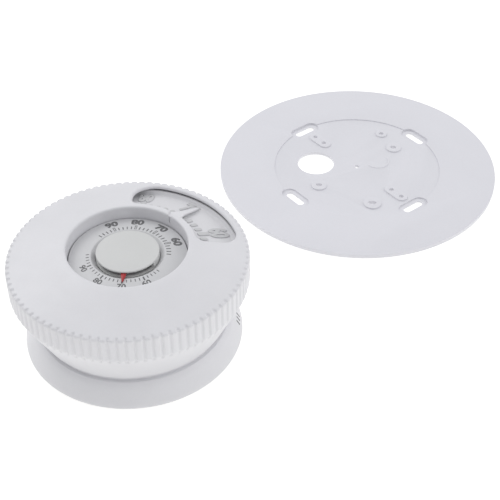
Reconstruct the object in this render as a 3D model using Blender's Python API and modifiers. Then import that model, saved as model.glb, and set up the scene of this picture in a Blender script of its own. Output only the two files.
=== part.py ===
"""Round low-voltage wall thermostat with a turning grip ring, and its loose cover plate.

Metres, +Z out of the wall, +Y up the wall, +X to the right as one faces the wall.
The origin is the centre of the wall plate's back face. Clock angles run clockwise
from +Y, as on a watch face. Sizes below are in millimetres and MM turns them to metres.
"""

import math

import bmesh
import bpy
from mathutils import Matrix, Vector

MM = 0.001
GAP = 0.3            # clearance between pieces that touch on the real object

LARGE_STEPS = 56     # facets round the skirt, the ring and the cover plate
MIDDLE_STEPS = 44    # facets round the dial and the chassis
HOLE_STEPS = 24      # facets round the cable holes
SMALL_STEPS = 10     # facets round screws, posts and small holes

# Temperature scale shared by the dial and the touch window
DEGREES_PER_FAHRENHEIT = 3.0
SCALE_MIDDLE = 75.0
SCALE_LOW = 52.0
SCALE_HIGH = 98.0
SET_POINT = 68.6667  # where the ring stands at rest
RING_CLOCK = DEGREES_PER_FAHRENHEIT * (SCALE_MIDDLE - SET_POINT)
NEEDLE_CLOCK = 161.0  # where the thermometer needle stands at rest

# Wall plate (a standard 3 9/16 inch sub-base)
WALL_PLATE_RADIUS = 45.2
WALL_PLATE_TOP = 2.4
CABLE_HOLE_RADIUS = 9.5
CABLE_HOLE_X = -22.0
WALL_SLOT_RADIUS = 35.6
WALL_SLOT_CLOCKS = (20.0, 200.0)
WALL_SLOT_SIZE = (9.0, 4.2)
SNAP_ARM_RADIUS = 40.6
SNAP_ARM_CLOCKS = (0.0, 120.0, 240.0)

# Terminal blocks stand above and below the cable hole
TERMINAL_XS = (-25.5, -16.5, -7.5)
TERMINAL_PITCH = 9.0
BLOCK_INNER_Y = 13.0
BLOCK_OUTER_Y = 24.6
BLOCK_TOP = 8.7
SCREW_WELL_Y = 16.6
PIN_Y = 21.8

# Base skirt (the flared foot of the thermostat)
SKIRT_FOOT_RADIUS = 51.3
SKIRT_FOOT = 0.5
SKIRT_NECK_RADIUS = 45.2
SKIRT_TOP = 11.5
SKIRT_WALL = 2.0
FLOOR_BOTTOM = 9.3
FLOOR_TOP = 11.3

# Chassis (the drum that carries the dial, the window scale and the ring)
DRUM_RADIUS = 40.0
DRUM_BORE = 38.0
DRUM_BOTTOM = FLOOR_TOP + GAP
DRUM_TOP = 44.0
DECK_BOTTOM = 32.0
DECK_TOP = 34.0
TOWER_RADIUS = 27.0
TOWER_BORE = 25.0
TOWER_TOP = 44.5
LEDGE_BORE = 34.2
LEDGE_TOP = 42.0
CASE_SCREW_RADIUS = 33.0
CASE_SCREW_CLOCKS = (45.0, 135.0, 270.0)
BOSS_RADIUS = 3.4
SCREW_HOLE_RADIUS = 1.6

# Circuit board and what stands on it
BOARD_RADIUS = 36.5
BOARD_BOTTOM = 14.7
BOARD_TOP = 16.3
RELAY_SIZE = (19.0, 15.0, 14.6)
RELAY_PLACES = {"heat_relay": (8.0, 12.0), "cool_relay": (8.0, -12.0)}
CAPACITORS = ((-12.0, 8.0, 4.0, 11.0), (-12.0, -8.0, 4.0, 11.0), (-23.0, 8.5, 3.2, 8.0))  # x, y, radius, height
CONTROLLER_PLACE = (-22.0, -8.0)
CONTROLLER_SIZE = (9.0, 9.0, 1.6)
THERMISTOR_RADIUS = 32.0
THERMISTOR_CLOCK = 190.0

# Grip ring
RING_RADIUS = 55.2
RING_EDGE_TOP = 46.4
RING_GRIP_BOTTOM = 35.0
RING_FOOT_RADIUS = 45.0
RING_FOOT = 14.0
RING_BORE = 27.45
RING_RIM = 53.15
RING_WALL = 2.2
DOME_SLOPE = (RING_EDGE_TOP + 0.5 - RING_RIM) / (RING_RADIUS - RING_BORE)
SLEEVE_WALL = 1.9
SLEEVE_BOTTOM = 38.0
WINDOW_INNER = 31.5
WINDOW_OUTER = 50.8
WINDOW_SPAN = 41.5   # degrees from the pointer to each end of the window
WINDOW_INNER_CORNER = 4.5
WINDOW_OUTER_CORNERS = {-1: 11.0, 1: 7.5}   # the left end is rounder than the right
POINTER_DROP = 1.4   # how far the pointer's root lies below the dome
POINTER_SLOPE = -0.341
POINTER_THICKNESS = 0.75
# half width, distance along the pointer from the window's inner edge
POINTER_OUTLINE = ((2.6, -2.0), (3.5, 0.2), (1.7, 4.8), (0.3, 16.4))
POINTER_RECESS = ((0.4, -4.9), (3.3, 0.2), (3.3, 1.5))

# Window scale (the fixed cone under the window)
CONE_INNER = 30.5
CONE_OUTER = 51.3
CONE_MIDDLE_RADIUS = 36.0
CONE_MIDDLE_HEIGHT = 47.0
CONE_SLOPE = -0.264
CONE_THICKNESS = 1.5
CONE_RIM_START = 49.3
CONE_RIM_INNER = 50.2
CONE_RIM_TOP = 45.2

# Detent hub, keeper, wiper and resistance track under the ring
HUB_BOTTOM = 39.4
HUB_TOP = 41.6
HUB_RADIUS = 33.2
HUB_NOTCH_DEPTH = 0.7
DETENT_STEP = 6.0    # degrees, two degrees Fahrenheit a click
TRACK_INNER = 29.6
TRACK_OUTER = 33.6
TRACK_TOP = DECK_TOP + GAP + 1.2
WIPER_RADIUS = 31.4
STOP_LEAD = 7.0      # degrees from the wiper block at its limit to the stop's middle
DETENT_CLOCK = RING_CLOCK - 3 * DETENT_STEP

# Screws that hold the keeper ring, and the drum's air slots
KEEPER_SCREW_RADIUS = 36.0
KEEPER_SCREW_CLOCKS = (60.0, 180.0, 300.0)
KEEPER_HOLE_RADIUS = 1.1
VENT_CLOCKS = (-16.0, 0.0, 16.0, 164.0, 180.0, 196.0)

# Dial, centre cap and thermometer
DIAL_RADIUS = 27.0
DIAL_EDGE = 46.4
DIAL_RIDGE_RADIUS = 16.8
DIAL_RIDGE = 47.75
WELL_RADIUS = 14.7
WELL_FLOOR = 44.9
CAP_RADIUS = 14.4
CAP_TOP = 49.6
CAP_UNDERSIDE = 48.95
CAP_SLOT_BOTTOM = 46.2
CAP_SLOT_CLOCKS = (104.0, 251.0)
NEEDLE_BOTTOM = 48.1
NEEDLE_TOP = 48.6
NEEDLE_TIP = 19.2
ARBOR_RADIUS = 0.9
ARBOR_BOTTOM = 37.4
COIL_TURNS = 2.5
COIL_INNER = 2.6
COIL_OUTER = 9.4
COIL_STRIP = 0.6
COIL_BOTTOM = 38.9
COIL_TOP = 42.9

# Cover plate (six inches across, lying beside the thermostat)
COVER_RADIUS = 76.2
COVER_TOP = 2.0
COVER_CENTRE = (59.6, 160.2)
COVER_TURN = -15.0   # clock angle of the plate's own upright
SEAT_RADIUS = 45.9
SEAT_TOP = 1.5
COVER_CABLE_RADIUS = 10.2
COVER_CABLE_OFFSET = 23.0
COVER_SLOT_RADIUS = 44.8
COVER_SLOT_CLOCKS = (45.0, 135.0, 225.0, 315.0)
COVER_SLOT_SIZE = (12.5, 4.0)
COVER_POCKET_SIZE = (18.0, 8.6)
COVER_POCKET_FLOOR = 0.8
COVER_BOSS_TOP = 2.2
# radius, clock, boss radius, length of the hole
COVER_BOSSES = ((28.0, 45.0, 4.2, 3.6), (28.0, 225.0, 4.2, 3.6), (35.0, 21.0, 3.2, 2.8), (33.8, 163.0, 4.8, 4.6))
COVER_BOSS_HOLE_WIDTH = 2.4
COVER_PAIR_CLOCKS = (135.0, 315.0)
COVER_PAIR_SIZE = (15.0, 6.6)
COVER_PAIR_RADIUS = 31.4
COVER_PILOT_RADII = (28.0, 35.6)   # how far the screw holes are from the centre
COVER_PILOT_HOLE = 1.3
COVER_CENTRE_HOLE = 1.4


# ---------------------------------------------------------------- scene and materials

def clear_scene():
    for thing in list(bpy.data.objects):
        bpy.data.objects.remove(thing, do_unlink=True)


def new_collection(name):
    collection = bpy.data.collections.new(name)
    bpy.context.scene.collection.children.link(collection)
    return collection


clear_scene()
PARTS = new_collection("wall_thermostat")
CUTTERS = new_collection("cutters")


def material(name, colour, roughness, metallic=0.0):
    made = bpy.data.materials.new(name)
    made.use_nodes = True
    shader = made.node_tree.nodes["Principled BSDF"]
    shader.inputs["Base Color"].default_value = (*colour, 1.0)
    shader.inputs["Roughness"].default_value = roughness
    shader.inputs["Metallic"].default_value = metallic
    return made


# name: colour, roughness, metallic
FINISHES = {
    "white_shell": ((0.80, 0.80, 0.81), 0.45, 0.0),
    "white_dial": ((0.76, 0.76, 0.77), 0.50, 0.0),
    "white_cover": ((0.80, 0.80, 0.82), 0.55, 0.0),
    "grey_plastic": ((0.42, 0.43, 0.44), 0.60, 0.0),
    "black_plastic": ((0.04, 0.04, 0.04), 0.50, 0.0),
    "relay_blue": ((0.08, 0.16, 0.36), 0.45, 0.0),
    "board_green": ((0.05, 0.22, 0.10), 0.45, 0.0),
    "track_brown": ((0.25, 0.15, 0.08), 0.55, 0.0),
    "brass": ((0.72, 0.53, 0.25), 0.30, 1.0),
    "bronze": ((0.62, 0.42, 0.26), 0.35, 1.0),
    "steel": ((0.62, 0.62, 0.63), 0.35, 1.0),
    "aluminium": ((0.70, 0.71, 0.72), 0.35, 1.0),
    "needle_red": ((0.62, 0.03, 0.04), 0.50, 0.0),
    "sensor_black": ((0.03, 0.03, 0.03), 0.35, 0.0),
}


# ---------------------------------------------------------------- shape helpers

def at_clock(radius, clock):
    """Point at a radius and a clock angle, in millimetres."""
    angle = math.radians(clock)
    return Vector((radius * math.sin(angle), radius * math.cos(angle)))


def keep(thing, finish):
    """Put a finished piece in the parts collection with its own material."""
    move_to(thing, PARTS)
    thing.data.materials.clear()
    thing.data.materials.append(material(thing.name, *FINISHES[finish]))
    thing.data.shade_smooth()
    thing.data.set_sharp_from_angle(angle=math.radians(35.0))
    return thing


def move_to(thing, collection):
    for owner in list(thing.users_collection):
        owner.objects.unlink(thing)
    collection.objects.link(thing)


def as_cutter(thing):
    move_to(thing, CUTTERS)
    thing.hide_render = True
    thing.display_type = "WIRE"
    return thing


def combine(target, tool, operation):
    as_cutter(tool)
    modifier = target.modifiers.new(tool.name, "BOOLEAN")
    modifier.operation = operation
    modifier.object = tool
    modifier.solver = "EXACT"


def cut(target, *tools):
    for tool in tools:
        combine(target, tool, "DIFFERENCE")


def join(target, *tools):
    for tool in tools:
        combine(target, tool, "UNION")


def turned(name, profile, steps, closed=True):
    """Solid of revolution about Z. The profile runs down its outer side, top to bottom."""
    mesh = bpy.data.meshes.new(name)
    built = bmesh.new()
    points = [built.verts.new((r * MM, 0.0, z * MM)) for r, z in profile]
    for first, second in zip(points, points[1:]):
        built.edges.new((first, second))
    if closed:
        built.edges.new((points[-1], points[0]))
    built.to_mesh(mesh)
    built.free()
    thing = bpy.data.objects.new(name, mesh)
    PARTS.objects.link(thing)
    screw = thing.modifiers.new("turn", "SCREW")
    screw.steps = steps
    screw.render_steps = steps
    screw.use_merge_vertices = True
    screw.merge_threshold = 0.00001
    screw.use_normal_calculate = False
    return thing


def cylinder(name, radius, bottom, top, at=(0.0, 0.0), steps=SMALL_STEPS):
    bpy.ops.mesh.primitive_cylinder_add(
        vertices=steps,
        radius=radius * MM,
        depth=(top - bottom) * MM,
        location=(at[0] * MM, at[1] * MM, (top + bottom) / 2 * MM),
    )
    thing = bpy.context.object
    thing.name = name
    return thing


def box(name, size, centre, clock=0.0):
    """Box of size (x, y, z) mm about centre, turned clockwise about its own Z."""
    bpy.ops.mesh.primitive_cube_add(size=1.0)
    thing = bpy.context.object
    thing.name = name
    thing.data.transform(Matrix.Diagonal((size[0] * MM, size[1] * MM, size[2] * MM, 1.0)))
    thing.location = Vector(centre) * MM
    thing.rotation_euler.z = math.radians(-clock)
    return thing


def prism(name, outlines, bottom, top, at=(0.0, 0.0), clock=0.0):
    """Flat outline with any holes, extruded from bottom to top."""
    curve = bpy.data.curves.new(name, "CURVE")
    curve.dimensions = "2D"
    curve.fill_mode = "BOTH"
    curve.extrude = (top - bottom) / 2 * MM
    for outline in outlines:
        spline = curve.splines.new("POLY")
        spline.points.add(len(outline) - 1)
        for point, (x, y) in zip(spline.points, outline):
            point.co = (x * MM, y * MM, 0.0, 1.0)
        spline.use_cyclic_u = True
    drawn = bpy.data.objects.new(name + "_outline", curve)
    PARTS.objects.link(drawn)
    bpy.context.view_layer.update()
    shown = drawn.evaluated_get(bpy.context.evaluated_depsgraph_get())
    mesh = bpy.data.meshes.new_from_object(shown)
    bpy.data.objects.remove(drawn, do_unlink=True)
    bpy.data.curves.remove(curve)
    welded = bmesh.new()
    welded.from_mesh(mesh)
    bmesh.ops.remove_doubles(welded, verts=welded.verts, dist=0.000001)
    bmesh.ops.recalc_face_normals(welded, faces=welded.faces)
    welded.to_mesh(mesh)
    welded.free()
    thing = bpy.data.objects.new(name, mesh)
    PARTS.objects.link(thing)
    thing.location = (at[0] * MM, at[1] * MM, (top + bottom) / 2 * MM)
    thing.rotation_euler.z = math.radians(-clock)
    return thing


def arc(radius, start, end, pieces, centre=(0.0, 0.0)):
    """Points along an arc between two clock angles."""
    points = []
    for index in range(pieces + 1):
        clock = start + (end - start) * index / pieces
        x, y = at_clock(radius, clock)
        points.append((x + centre[0], y + centre[1]))
    return points


def obround(length, width, pieces=6):
    """Slot outline with round ends, long along X."""
    reach = (length - width) / 2
    right = arc(width / 2, 0.0, 180.0, pieces, (reach, 0.0))
    left = arc(width / 2, 180.0, 360.0, pieces, (-reach, 0.0))
    return right + left


def sector(inner, outer, start, end, pieces):
    return arc(outer, start, end, pieces) + arc(inner, end, start, pieces)


def slotted_screw(name, head_radius, head, shank_radius, shank_end, at, finish, slot_up=True):
    """Pan-headed screw; head is (seat, crown) heights and shank_end the far end's height."""
    seat, crown = head
    tip_side = [(shank_radius, seat), (shank_radius, shank_end), (0.0, shank_end)]
    head_side = [(0.0, crown), (head_radius * 0.8, crown), (head_radius, (crown + seat) / 2),
                 (head_radius, seat)]
    profile = head_side + tip_side
    if not slot_up:
        profile.reverse()
    screw = turned(name, profile, SMALL_STEPS, closed=False)
    screw.location = (at[0] * MM, at[1] * MM, 0.0)
    slot_depth = 0.6
    toward_seat = -1.0 if slot_up else 1.0
    slot_middle = crown + toward_seat * slot_depth / 2 - toward_seat * 0.5
    slot = box(name + "_slot", (head_radius * 2.4, 0.9, slot_depth + 1.0),
               (at[0], at[1], slot_middle), clock=35.0)
    cut(screw, slot)
    return keep(screw, finish)


# ---------------------------------------------------------------- wall plate and terminals

def make_wall_plate():
    plate = cylinder("wall_plate", WALL_PLATE_RADIUS, 0.0, WALL_PLATE_TOP, steps=LARGE_STEPS)
    for index, clock in enumerate(SNAP_ARM_CLOCKS):
        x, y = at_clock(SNAP_ARM_RADIUS, clock)
        arm = box(f"snap_arm_{index}", (7.0, 1.6, 7.2), (x, y, WALL_PLATE_TOP + 2.6), clock)
        hook_x, hook_y = at_clock(SNAP_ARM_RADIUS + 0.9, clock)
        hook = box(f"snap_hook_{index}", (6.4, 1.4, 1.4), (hook_x, hook_y, WALL_PLATE_TOP + 5.0), clock)
        join(plate, arm, hook)
    cable = cylinder("wall_cable_hole", CABLE_HOLE_RADIUS, -1.0, WALL_PLATE_TOP + 1.0,
                     (CABLE_HOLE_X, 0.0), HOLE_STEPS)
    cut(plate, cable)
    for index, clock in enumerate(WALL_SLOT_CLOCKS):
        slot = prism(f"wall_slot_{index}", [obround(*WALL_SLOT_SIZE)], -1.0, WALL_PLATE_TOP + 1.0,
                     at_clock(WALL_SLOT_RADIUS, clock), clock)
        cut(plate, slot)
    return keep(plate, "grey_plastic")


def make_terminal_block(name, side):
    """Moulded block of three screw terminals; side is +1 above the cable hole, -1 below."""
    middle_y = side * (BLOCK_INNER_Y + BLOCK_OUTER_Y) / 2
    bottom = WALL_PLATE_TOP + GAP
    block = box(name, (TERMINAL_PITCH * 3, BLOCK_OUTER_Y - BLOCK_INNER_Y, BLOCK_TOP - bottom),
                (TERMINAL_XS[1], middle_y, (BLOCK_TOP + bottom) / 2))
    for index, x in enumerate(TERMINAL_XS):
        well = cylinder(f"{name}_well_{index}", 3.2, 6.5, BLOCK_TOP + 1.0, (x, side * SCREW_WELL_Y))
        thread = cylinder(f"{name}_thread_{index}", 1.7, 3.4, 7.0, (x, side * SCREW_WELL_Y))
        wire = box(f"{name}_wire_{index}", (2.6, 5.0, 2.0),
                   (x, side * (BLOCK_INNER_Y + 0.2), 5.2))
        socket = box(f"{name}_socket_{index}", (4.4, 1.8, 8.0), (x, side * PIN_Y, 7.6))
        cut(block, well, thread, wire, socket)
    return keep(block, "black_plastic")


def make_terminal_screws():
    number = 1
    for side in (1, -1):
        for x in TERMINAL_XS:
            slotted_screw(f"terminal_screw_{number}", 2.8, (6.9, 8.4), 1.4, 4.0,
                          (x, side * SCREW_WELL_Y), "brass")
            number += 1


def make_contact_pins():
    """Blades under the circuit board that plug into the terminal blocks."""
    number = 1
    for side in (1, -1):
        for x in TERMINAL_XS:
            bottom, top = 4.4, BOARD_BOTTOM - GAP
            pin = box(f"contact_pin_{number}", (3.0, 0.8, top - bottom),
                      (x, side * PIN_Y, (top + bottom) / 2))
            keep(pin, "brass")
            number += 1


# ---------------------------------------------------------------- base skirt and chassis

def skirt_outline():
    """Outer flare of the skirt, a quarter-like sweep from the neck down to the foot."""
    points = []
    pieces = 4
    for index in range(pieces + 1):
        share = index / pieces
        radius = SKIRT_NECK_RADIUS + (SKIRT_FOOT_RADIUS - SKIRT_NECK_RADIUS) * share ** 0.75
        height = SKIRT_TOP + (SKIRT_FOOT + 1.2 - SKIRT_TOP) * share
        points.append((radius, height))
    return points


def make_base_skirt():
    outer = skirt_outline()
    inner = [(radius - SKIRT_WALL, min(height, FLOOR_BOTTOM)) for radius, height in reversed(outer)
             if height < FLOOR_BOTTOM]
    profile = [(0.0, FLOOR_TOP), (SKIRT_NECK_RADIUS - 1.2, FLOOR_TOP), *outer,
               (SKIRT_FOOT_RADIUS - 0.3, SKIRT_FOOT), (SKIRT_FOOT_RADIUS - SKIRT_WALL, SKIRT_FOOT),
               *inner, (inner[-1][0] - 0.8, FLOOR_BOTTOM), (0.0, FLOOR_BOTTOM)]
    skirt = turned("base_skirt", profile, LARGE_STEPS, closed=False)
    for index, clock in enumerate(CASE_SCREW_CLOCKS):
        spot = at_clock(CASE_SCREW_RADIUS, clock)
        post = cylinder(f"base_post_{index}", BOSS_RADIUS, FLOOR_TOP - 1.0, BOARD_BOTTOM - GAP, spot)
        hole = cylinder(f"base_hole_{index}", SCREW_HOLE_RADIUS, FLOOR_BOTTOM - 1.0, BOARD_TOP, spot)
        join(skirt, post)
        cut(skirt, hole)
    for side in (1, -1):
        for index, x in enumerate(TERMINAL_XS):
            passage = box(f"pin_passage_{side}_{index}", (4.4, 2.2, 6.0),
                          (x, side * PIN_Y, (FLOOR_TOP + FLOOR_BOTTOM) / 2))
            cut(skirt, passage)
    return keep(skirt, "white_shell")


def make_chassis():
    drum = turned("chassis", [
        (DRUM_RADIUS, DRUM_TOP),
        (DRUM_RADIUS, DRUM_BOTTOM),
        (DRUM_BORE, DRUM_BOTTOM),
        (DRUM_BORE, DECK_BOTTOM),
        (2.0, DECK_BOTTOM),
        (2.0, DECK_TOP),
        (TOWER_BORE, DECK_TOP),
        (TOWER_BORE, TOWER_TOP),
        (TOWER_RADIUS, TOWER_TOP),
        (TOWER_RADIUS, DECK_TOP),
        (LEDGE_BORE, DECK_TOP),
        (LEDGE_BORE, LEDGE_TOP),
        (DRUM_BORE, LEDGE_TOP),
        (DRUM_BORE, DRUM_TOP),
    ], MIDDLE_STEPS)
    for index, clock in enumerate(CASE_SCREW_CLOCKS):
        spot = at_clock(CASE_SCREW_RADIUS, clock)
        boss = cylinder(f"chassis_boss_{index}", BOSS_RADIUS, BOARD_TOP + GAP, DECK_BOTTOM + 1.0, spot)
        hole = cylinder(f"chassis_hole_{index}", SCREW_HOLE_RADIUS, BOARD_BOTTOM, 25.0, spot)
        join(drum, boss)
        cut(drum, hole)
    for index, clock in enumerate(stop_clocks()):
        x, y = at_clock((TRACK_INNER + TRACK_OUTER) / 2 + 0.6, clock)
        stop = box(f"chassis_stop_{index}", (2.4, 4.6, 4.6), (x, y, DECK_TOP + 2.0), clock)
        join(drum, stop)
    for index, clock in enumerate(KEEPER_SCREW_CLOCKS):
        hole = cylinder(f"ledge_hole_{index}", KEEPER_HOLE_RADIUS, 37.5, LEDGE_TOP + 1.0,
                        at_clock(KEEPER_SCREW_RADIUS, clock))
        cut(drum, hole)
    for index, clock in enumerate(VENT_CLOCKS):
        x, y = at_clock((DRUM_BORE + DRUM_RADIUS) / 2, clock)
        cut(drum, box(f"drum_vent_{index}", (3.0, 6.0, 11.0), (x, y, 23.0), clock))
    x, y = at_clock(LEDGE_BORE + 0.7, DETENT_CLOCK)
    pocket = box("detent_pocket", (13.0, 3.6, 4.4), (x, y, LEDGE_TOP - 1.2), DETENT_CLOCK)
    cut(drum, pocket)
    return keep(drum, "grey_plastic")


def travel_clocks():
    """Clock angles of the pointer at the two ends of its travel, hot end first."""
    return (DEGREES_PER_FAHRENHEIT * (SCALE_MIDDLE - SCALE_HIGH),
            DEGREES_PER_FAHRENHEIT * (SCALE_MIDDLE - SCALE_LOW))


def stop_clocks():
    """Stops on the deck, opposite the pointer, just outside the wiper block's travel."""
    hot, cold = travel_clocks()
    return (180.0 + hot - STOP_LEAD, 180.0 + cold + STOP_LEAD)


# ---------------------------------------------------------------- circuit board

def make_circuit_board():
    board = cylinder("circuit_board", BOARD_RADIUS, BOARD_BOTTOM, BOARD_TOP, steps=MIDDLE_STEPS)
    for index, clock in enumerate(CASE_SCREW_CLOCKS):
        hole = cylinder(f"board_hole_{index}", SCREW_HOLE_RADIUS, BOARD_BOTTOM - 1.0, BOARD_TOP + 1.0,
                        at_clock(CASE_SCREW_RADIUS, clock))
        cut(board, hole)
    return keep(board, "board_green")


def make_board_parts():
    seat = BOARD_TOP + GAP
    for name, (x, y) in RELAY_PLACES.items():
        keep(box(name, RELAY_SIZE, (x, y, seat + RELAY_SIZE[2] / 2)), "relay_blue")
    for number, (x, y, radius, height) in enumerate(CAPACITORS, start=1):
        keep(cylinder(f"capacitor_{number}", radius, seat, seat + height, (x, y)), "aluminium")
    controller = box("microcontroller", CONTROLLER_SIZE, (*CONTROLLER_PLACE, seat + CONTROLLER_SIZE[2] / 2))
    keep(controller, "black_plastic")
    thermistor = turned("thermistor", [
        (0.0, seat + 9.5), (1.1, seat + 9.1), (1.5, seat + 8.0), (1.1, seat + 6.9),
        (0.5, seat + 6.4), (0.5, seat), (0.0, seat),
    ], SMALL_STEPS, closed=False)
    x, y = at_clock(THERMISTOR_RADIUS, THERMISTOR_CLOCK)
    thermistor.location = (x * MM, y * MM, 0.0)
    keep(thermistor, "sensor_black")


def make_case_screws():
    """Self-tapping screws from the back, through base and board into the chassis."""
    for number, clock in enumerate(CASE_SCREW_CLOCKS, start=1):
        slotted_screw(f"case_screw_{number}", 2.9, (FLOOR_BOTTOM - GAP, 7.4), 1.3, 24.0,
                      at_clock(CASE_SCREW_RADIUS, clock), "steel", slot_up=False)


# ---------------------------------------------------------------- ring and its bearing

def dome_height(radius):
    return RING_RIM + DOME_SLOPE * (radius - RING_BORE)


def window_half(side):
    """Outline of the touch window on one side of clock 0, from its outer to its inner edge."""
    outer_corner = WINDOW_OUTER_CORNERS[side]
    outer_centre = WINDOW_OUTER - outer_corner
    inner_centre = WINDOW_INNER + WINDOW_INNER_CORNER
    outer_end = WINDOW_SPAN - math.degrees(math.asin(outer_corner / outer_centre))
    inner_end = WINDOW_SPAN - math.degrees(math.asin(WINDOW_INNER_CORNER / inner_centre))
    points = arc(WINDOW_OUTER, 0.0, outer_end, 7)
    points += arc(outer_corner, outer_end, WINDOW_SPAN + 90.0, 5, at_clock(outer_centre, outer_end))[1:]
    points += arc(WINDOW_INNER_CORNER, WINDOW_SPAN + 90.0, inner_end + 180.0, 3,
                  at_clock(inner_centre, inner_end))
    points += arc(WINDOW_INNER, inner_end, 0.0, 6)[1:]
    return [(side * x, y) for x, y in points]


def window_outline():
    left = window_half(-1)
    return window_half(1) + left[-2:0:-1]


def along_pointer(name, half_outline, bottom, top):
    """Flat piece on the pointer's sloping line; heights are above the pointer's upper face."""
    outline = list(half_outline) + [(-x, y) for x, y in reversed(half_outline)]
    piece = prism(name, [outline], bottom, top)
    root = at_clock(WINDOW_INNER, RING_CLOCK)
    height = dome_height(WINDOW_INNER) - POINTER_DROP
    turn = Matrix.Rotation(math.radians(-RING_CLOCK), 4, "Z")
    tilt = Matrix.Rotation(math.atan(POINTER_SLOPE), 4, "X")
    lift = Matrix.Translation((0.0, 0.0, (top + bottom) / 2 * MM))
    piece.matrix_world = Matrix.Translation(Vector((*root, height)) * MM) @ turn @ tilt @ lift
    return piece


def make_grip_ring():
    sleeve_radius = RING_BORE + SLEEVE_WALL
    inside = RING_RADIUS - RING_WALL
    ring = turned("grip_ring", [
        (RING_BORE + 0.5, RING_RIM),
        (RING_RADIUS - 1.2, dome_height(RING_RADIUS - 1.2)),
        (RING_RADIUS, RING_EDGE_TOP - 0.4),
        (RING_RADIUS, RING_GRIP_BOTTOM),
        (RING_FOOT_RADIUS, RING_FOOT),
        (RING_FOOT_RADIUS - RING_WALL, RING_FOOT),
        (inside, RING_GRIP_BOTTOM + 0.8),
        (inside, dome_height(inside) - RING_WALL),
        (sleeve_radius, dome_height(sleeve_radius) - RING_WALL),
        (sleeve_radius, SLEEVE_BOTTOM),
        (RING_BORE, SLEEVE_BOTTOM),
        (RING_BORE, RING_RIM - 0.5),
    ], LARGE_STEPS)
    cut(ring, prism("touch_window", [window_outline()], 40.0, 60.0, clock=RING_CLOCK))
    cut(ring, along_pointer("pointer_recess", POINTER_RECESS, 0.05, 6.0))
    join(ring, along_pointer("pointer", POINTER_OUTLINE, -POINTER_THICKNESS, 0.0))
    return keep(ring, "white_shell")


def make_ring_hub():
    """Detent wheel clipped on the ring's sleeve, with the block that carries the wiper."""
    notches = round(360.0 / DETENT_STEP)
    rim = []
    for index in range(notches):
        clock = RING_CLOCK + index * DETENT_STEP
        rim.append(tuple(at_clock(HUB_RADIUS - HUB_NOTCH_DEPTH, clock)))
        rim.append(tuple(at_clock(HUB_RADIUS, clock + DETENT_STEP / 2)))
    bore = arc(RING_BORE + SLEEVE_WALL + GAP, 0.0, 360.0 * (1.0 - 1.0 / MIDDLE_STEPS), MIDDLE_STEPS - 1)
    hub = prism("ring_hub", [rim, bore], HUB_BOTTOM, HUB_TOP)
    clock = RING_CLOCK + 180.0
    x, y = at_clock(WIPER_RADIUS, clock)
    join(hub, box("hub_block", (4.4, 2.8, 3.0), (x, y, HUB_BOTTOM - 1.0), clock))
    return keep(hub, "grey_plastic")


def make_wiper():
    """Bronze brush under the hub's block, just clear of the resistance track."""
    clock = RING_CLOCK + 180.0
    x, y = at_clock(WIPER_RADIUS, clock)
    top = HUB_BOTTOM - 2.5 - GAP
    bottom = TRACK_TOP + GAP
    wiper = box("wiper", (3.6, 2.2, top - bottom), (x, y, (top + bottom) / 2), clock)
    return keep(wiper, "bronze")


def make_track_board():
    hot, cold = travel_clocks()
    start = 180.0 + hot - 4.0
    end = 180.0 + cold + 4.0
    track = prism("track_board", [sector(TRACK_INNER, TRACK_OUTER, start, end, 20)],
                  DECK_TOP + GAP, TRACK_TOP)
    return keep(track, "track_brown")


def make_keeper_ring():
    """Flat ring on the ledge that keeps the hub, and so the grip ring, from lifting."""
    bottom = LEDGE_TOP + GAP
    top = bottom + 1.1
    keeper = turned("keeper_ring", [(37.7, top), (37.7, bottom), (30.2, bottom), (30.2, top)], MIDDLE_STEPS)
    for number, clock in enumerate(KEEPER_SCREW_CLOCKS, start=1):
        spot = at_clock(KEEPER_SCREW_RADIUS, clock)
        cut(keeper, cylinder(f"keeper_hole_{number}", KEEPER_HOLE_RADIUS, bottom - 1.0, top + 1.0, spot))
        slotted_screw(f"keeper_screw_{number}", 1.7, (top + GAP, top + GAP + 0.9), 0.8, 38.0, spot, "steel")
    return keep(keeper, "steel")


def make_detent_spring():
    """Leaf in the ledge's pocket; its nose clicks from notch to notch of the hub."""
    nose = HUB_RADIUS + GAP
    outline = [(-5.8, nose + 1.9), (-1.4, nose + 0.9), (0.0, nose), (1.4, nose + 0.9), (5.8, nose + 1.9),
               (5.8, nose + 2.3), (1.2, nose + 1.3), (-1.2, nose + 1.3), (-5.8, nose + 2.3)]
    leaf = prism("detent_spring", [outline], HUB_BOTTOM + 0.2, HUB_TOP - 0.2, clock=DETENT_CLOCK)
    return keep(leaf, "steel")


def make_window_scale():
    """Fixed cone seen through the window, with an upturned rim and a collar that sits on the drum."""
    def cone_height(radius):
        return CONE_MIDDLE_HEIGHT + CONE_SLOPE * (radius - CONE_MIDDLE_RADIUS)

    def underside(radius):
        return cone_height(radius) - CONE_THICKNESS

    cone = turned("window_scale", [
        (CONE_INNER, cone_height(CONE_INNER)),
        (CONE_RIM_START, cone_height(CONE_RIM_START)),
        (CONE_RIM_INNER, CONE_RIM_TOP),
        (CONE_OUTER, CONE_RIM_TOP),
        (CONE_OUTER, underside(CONE_OUTER)),
        (DRUM_RADIUS, underside(DRUM_RADIUS)),
        (DRUM_RADIUS, DRUM_TOP + GAP),
        (DRUM_BORE, DRUM_TOP + GAP),
        (DRUM_BORE, underside(DRUM_BORE)),
        (CONE_INNER, underside(CONE_INNER)),
    ], LARGE_STEPS)
    return keep(cone, "white_dial")


# ---------------------------------------------------------------- dial and thermometer

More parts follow.
